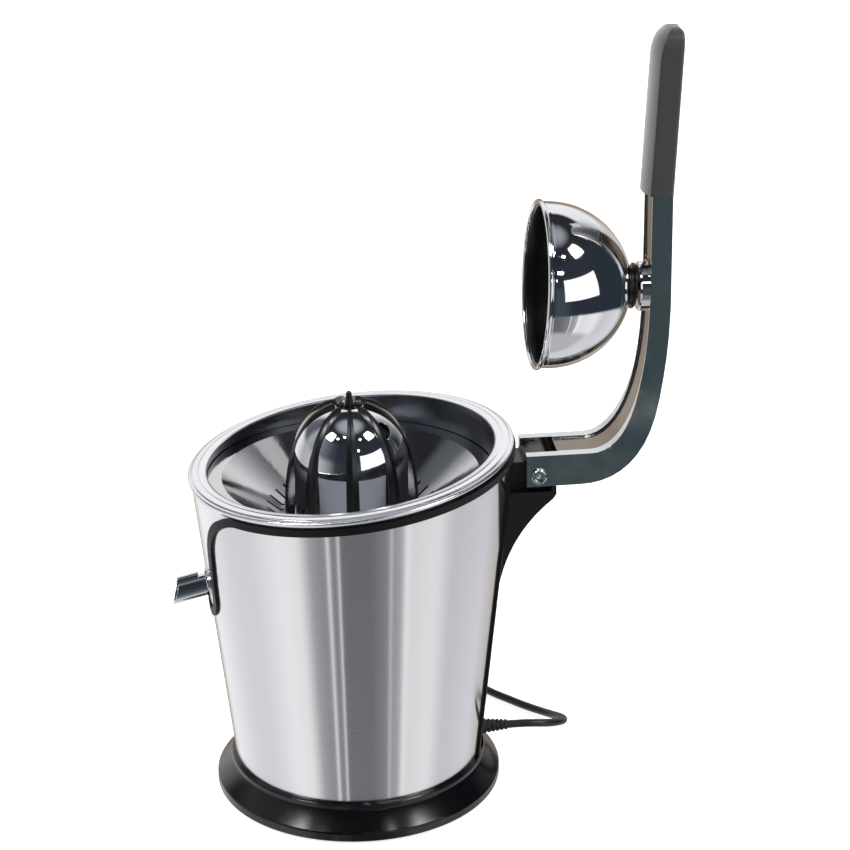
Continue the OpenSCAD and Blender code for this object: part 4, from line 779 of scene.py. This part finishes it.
# Ridge: a flattened half ellipse across, carried along the tube, its outer end slanted
def spoutRidgePoints(r):
    half = np.linspace(0, np.pi, r["columns"])
    tall = r["top"] - r["foot"]
    first, second = r["endRows"]
    inner = np.linspace(r["from"] + second, r["to"] - second, r["rows"])
    along = np.array([r["from"], r["from"] + first, *inner, r["to"] - first, r["to"]])[:, None]
    shrink = np.array([r["endShrink"], *np.ones(len(along) - 2), r["endShrink"]])[:, None]
    rise = tall * np.sin(half) ** r["roundness"] * shrink
    out = along - r["slant"] * rise / tall * (along > r["to"] - r["slantFrom"])
    return closeEnds(np.stack([r["half"] * np.cos(half) * shrink, out, r["foot"] + rise], axis=-1))


def makeSpout(s):
    slot = slotOf["spout"]
    angle = np.linspace(0, 2 * np.pi, s["sides"], endpoint=False)
    tube, drum, ridge = spoutTubePoints(s, angle), spoutDrumPoints(s, angle), spoutRidgePoints(s["ridge"])
    settle(makeSkin("spoutTube", placeSpout(tube, s), wrapRows=True), "spout_tube", slot, "spout")
    settle(makeSkin("spoutDrum", placeSpout(drum, s), wrapRows=True), "spout_tube", slot)
    settle(makeSkin("spoutRidge", placeSpout(ridge, s), crease=35), "spout_tube", slot)


makeSpout(spoutSetup)
print("grip, bolt, spring and spout made")

# Arm, bracket, plug and tie: copies of their nodes with softened edges; node, body, slot and edge width
softened = {
    "leverArm": ("lever_arm", "lever", "arm_polished", 0.5),
    "hingeBracket": ("hinge_bracket", "stand", "bracket_black", 0.7),
    "plugBody": ("plug_body", "stand", "cord_black", 1.2),
    "cordTie": ("cord_tie", "stand", "rubber_black", 0.3),
}
edgeSetup = {"merge": 0.002, "flat": 0.5, "angle": 32, "segments": 3}


# Copy of a node's mesh, merged, its coplanar triangles joined, edges softened by a bevel
def softenedCopy(name, node, width, s=edgeSetup):
    mesh = frame["nodes"][node].data.copy()
    work = bmesh.new()
    work.from_mesh(mesh)
    bmesh.ops.remove_doubles(work, verts=work.verts, dist=s["merge"] * mm)
    bmesh.ops.dissolve_limit(work, angle_limit=math.radians(s["flat"]), verts=work.verts, edges=work.edges)
    work.to_mesh(mesh)
    work.free()
    if "custom_normal" in mesh.attributes:
        mesh.attributes.remove(mesh.attributes["custom_normal"])
    piece = finishSkin(name, mesh, s["angle"])
    bevel = piece.modifiers.new("edges", "BEVEL")
    bevel.width, bevel.segments = width * mm, s["segments"]
    bevel.limit_method, bevel.angle_limit = "ANGLE", math.radians(s["angle"])
    bevel.harden_normals = True
    return piece


for name, (node, body, slot, width) in softened.items():
    settle(softenedCopy(name, node, width), body, slot, node)
print("softened pieces made:", len(softened))


# Studio: a pale floor and a room of soft light round the object
studioSetup = {
    "aim": 4.2, "strength": 1.12, "floorGlow": 0.8, "floorHalf": 70.0, "floorDrop": 0.2,
    # tone by direction, in degrees to the right of the camera's own: steeply down, below the horizon,
    # about it, and above
    "table": [(-180, "#d9d9dd"), (-30, "#d9d9dd"), (-16, "#b9babd"), (62, "#b9babd"), (78, "#d9d9dd"),
              (180, "#d9d9dd")],
    "low": [(-180, "#85765f"), (-166, "#9e8c7c"), (-158, "#d4ccc0"), (-149, "#f8f8f9"), (-130, "#f0f0f3"),
            (-105, "#e2e2e5"), (-86, "#e1e1e4"), (-60, "#fafafa"), (-44, "#f4f4f4"), (-34, "#a8a8aa"),
            (-26, "#929294"), (-21.2, "#929294"), (-20.4, "#ffffff"), (-18.8, "#ffffff"), (-18, "#87888a"),
            (-12.8, "#818284"), (-12.2, "#f4f4f4"), (-11, "#f0f0f0"), (-10.2, "#757678"), (-5, "#6d6e70"),
            (13, "#6b6c6e"), (28.6, "#88898b"), (29.4, "#f0f0f0"), (30.6, "#96979a"), (40, "#b4b4b6"),
            (41, "#ffffff"), (47, "#e8e8e8"), (69, "#f3f3f3"), (84, "#d2d2d6"), (123, "#e1e1e5"),
            (160, "#b0a698"), (180, "#85765f")],
    "high": [(-180, "#85765f"), (-166, "#9e8c7c"), (-156, "#d8d0c6"), (-148, "#f6f6f8"), (-128, "#f0f0f3"),
             (-108, "#b4b5b8"), (-70, "#c4c4c8"), (-48, "#9a9ca0"), (-30, "#3c4046"), (-8, "#2c323a"),
             (2, "#3f4b4f"), (20, "#3f4b4f"), (30, "#2c323a"), (118, "#2c323a"), (134, "#8d8f92"),
             (150, "#d8d0c6"), (166, "#9e8c7c"), (180, "#85765f")],
    "upper": [(-180, "#fafafb"), (-150, "#eaeaec"), (-138, "#6a6d72"), (-118, "#5a5d62"), (-104, "#a8abb0"),
              (-60, "#6c7078"), (-40, "#40454c"), (-26, "#2c323a"), (110, "#2c323a"), (130, "#8d8f92"),
              (148, "#f0f0f1"), (180, "#fafafb")],
    "ceiling": "#2a2c30", "zenith": "#a4a8b0",
    # sines of the heights between which each of these gives way to the next
    "seams": [(-0.82, -0.72), (-0.46, -0.41), (0.12, 0.3), (0.66, 0.74), (0.9, 0.99)],
    # soft panels: from and to, each as (turn, height), how bright and how soft at the edge
    "panels": [((19, -6), (70, 23), 1.3, 0.02), ((50, 44), (79, 62), 26.0, 0.16),
               ((-79, 44), (-50, 62), 26.0, 0.16), ((105, 44), (140, 56), 0.6, 0.02)],
    # small ceiling lamps: (turn, height), how bright, and the cosines at their edge
    "spots": [(32, 54), (54, 53), (19, 33), (7, 24), (-20, 62), (-40, 55)],
    "spotStrength": 14, "spotEdge": (0.9993, 0.9997),
}


# Floor: a flat square, pale and even, a little of its light its own so that it stays pale under the object
def makeFloor(s, cells=4):
    t = np.linspace(-s["floorHalf"], s["floorHalf"], cells + 1)
    x, y = np.meshgrid(t, t)
    points = np.stack([x, y, np.full_like(x, -s["floorDrop"] * mm)], axis=-1)
    index = np.arange(x.size).reshape(x.shape)
    quads = np.stack([index[:-1, :-1], index[:-1, 1:], index[1:, 1:], index[1:, :-1]], axis=-1)
    mesh = bpy.data.meshes.new("studioFloor")
    mesh.from_pydata(points.reshape(-1, 3).tolist(), [], quads.reshape(-1, 4).tolist())
    floor = bpy.data.objects.new("studioFloor", mesh)
    scene.collection.objects.link(floor)
    glow = {"Emission Color": (1, 1, 1, 1), "Emission Strength": s["floorGlow"]}
    mesh.materials.append(newMaterial("paleFloor", "#f4f4f5", 0.8, glow)[0])
    floor.visible_glossy = False


# Room: four rings of tone by direction, one over another, under a dark ceiling, with soft panels and
# small ceiling lamps
def makeRoom(s):
    world = bpy.data.worlds.new("studio")
    scene.world = world
    world.use_nodes = True
    tree = world.node_tree
    background = tree.nodes["Background"]
    background.inputs["Strength"].default_value = s["strength"]
    aimed = addNode(tree, "Mapping", {}, {"Vector": addNode(tree, "TexCoord").outputs["Generated"],
                                          "Rotation": (0, 0, math.radians(s["aim"]))}).outputs[0]
    axes = addNode(tree, "SeparateXYZ", {}, {0: aimed}).outputs
    turn = addNode(tree, "Math", {"operation": "ARCTAN2"}, {0: axes[1], 1: axes[0]}).outputs[0]
    share = addNode(tree, "MapRange", {}, {"Value": turn, "From Min": -math.pi, "From Max": math.pi})
    levels = []
    for key in ("table", "low", "high", "upper"):
        ring = addNode(tree, "ValToRGB", {}, {"Fac": share.outputs[0]})
        stops = ring.color_ramp.elements
        for angle, colour in s[key][1:-1]:
            stops.new(0.5 + angle / 360).color = hexLinear(colour)
        stops[0].color, stops[-1].color = hexLinear(s[key][0][1]), hexLinear(s[key][-1][1])
        levels.append(ring.outputs["Color"])
    levels += [hexLinear(s["ceiling"]), hexLinear(s["zenith"])]

    # a colour laid over the tone where all of its smooth steps have risen
    def lay(tone, steps, colour):
        inside = 1.0
        for value, low, high in steps:
            rise = addNode(tree, "MapRange", {"interpolation_type": "SMOOTHSTEP"},
                           {"Value": value, "From Min": low, "From Max": high}).outputs[0]
            inside = addNode(tree, "Math", {"operation": "MULTIPLY"}, {0: inside, 1: rise}).outputs[0]
        mixed = addNode(tree, "Mix", {"data_type": "RGBA"}, {"Factor": inside, 6: tone, 7: colour})
        return mixed.outputs[2]

    tone = levels[0]
    for (low, high), above in zip(s["seams"], levels[1:]):
        tone = lay(tone, [(axes[2], low, high)], above)
    for start, end, strength, soft in s["panels"]:
        left, right = math.radians(start[0]), math.radians(end[0])
        low, high = math.sin(math.radians(start[1])), math.sin(math.radians(end[1]))
        edges = [(turn, left, left + soft), (turn, right, right - soft),
                 (axes[2], low, low + soft / 2), (axes[2], high, high - soft / 2)]
        tone = lay(tone, edges, (strength,) * 3 + (1,))
    for angle, height in s["spots"]:
        a, e = math.radians(angle), math.radians(height)
        towards = (math.cos(a) * math.cos(e), math.sin(a) * math.cos(e), math.sin(e))
        near = addNode(tree, "VectorMath", {"operation": "DOT_PRODUCT"}, {0: aimed, 1: towards})
        tone = lay(tone, [(near.outputs["Value"], *s["spotEdge"])], (s["spotStrength"],) * 3 + (1,))
    tree.links.new(tone, background.inputs["Color"])


makeFloor(studioSetup)
makeRoom(studioSetup)
print("studio made")
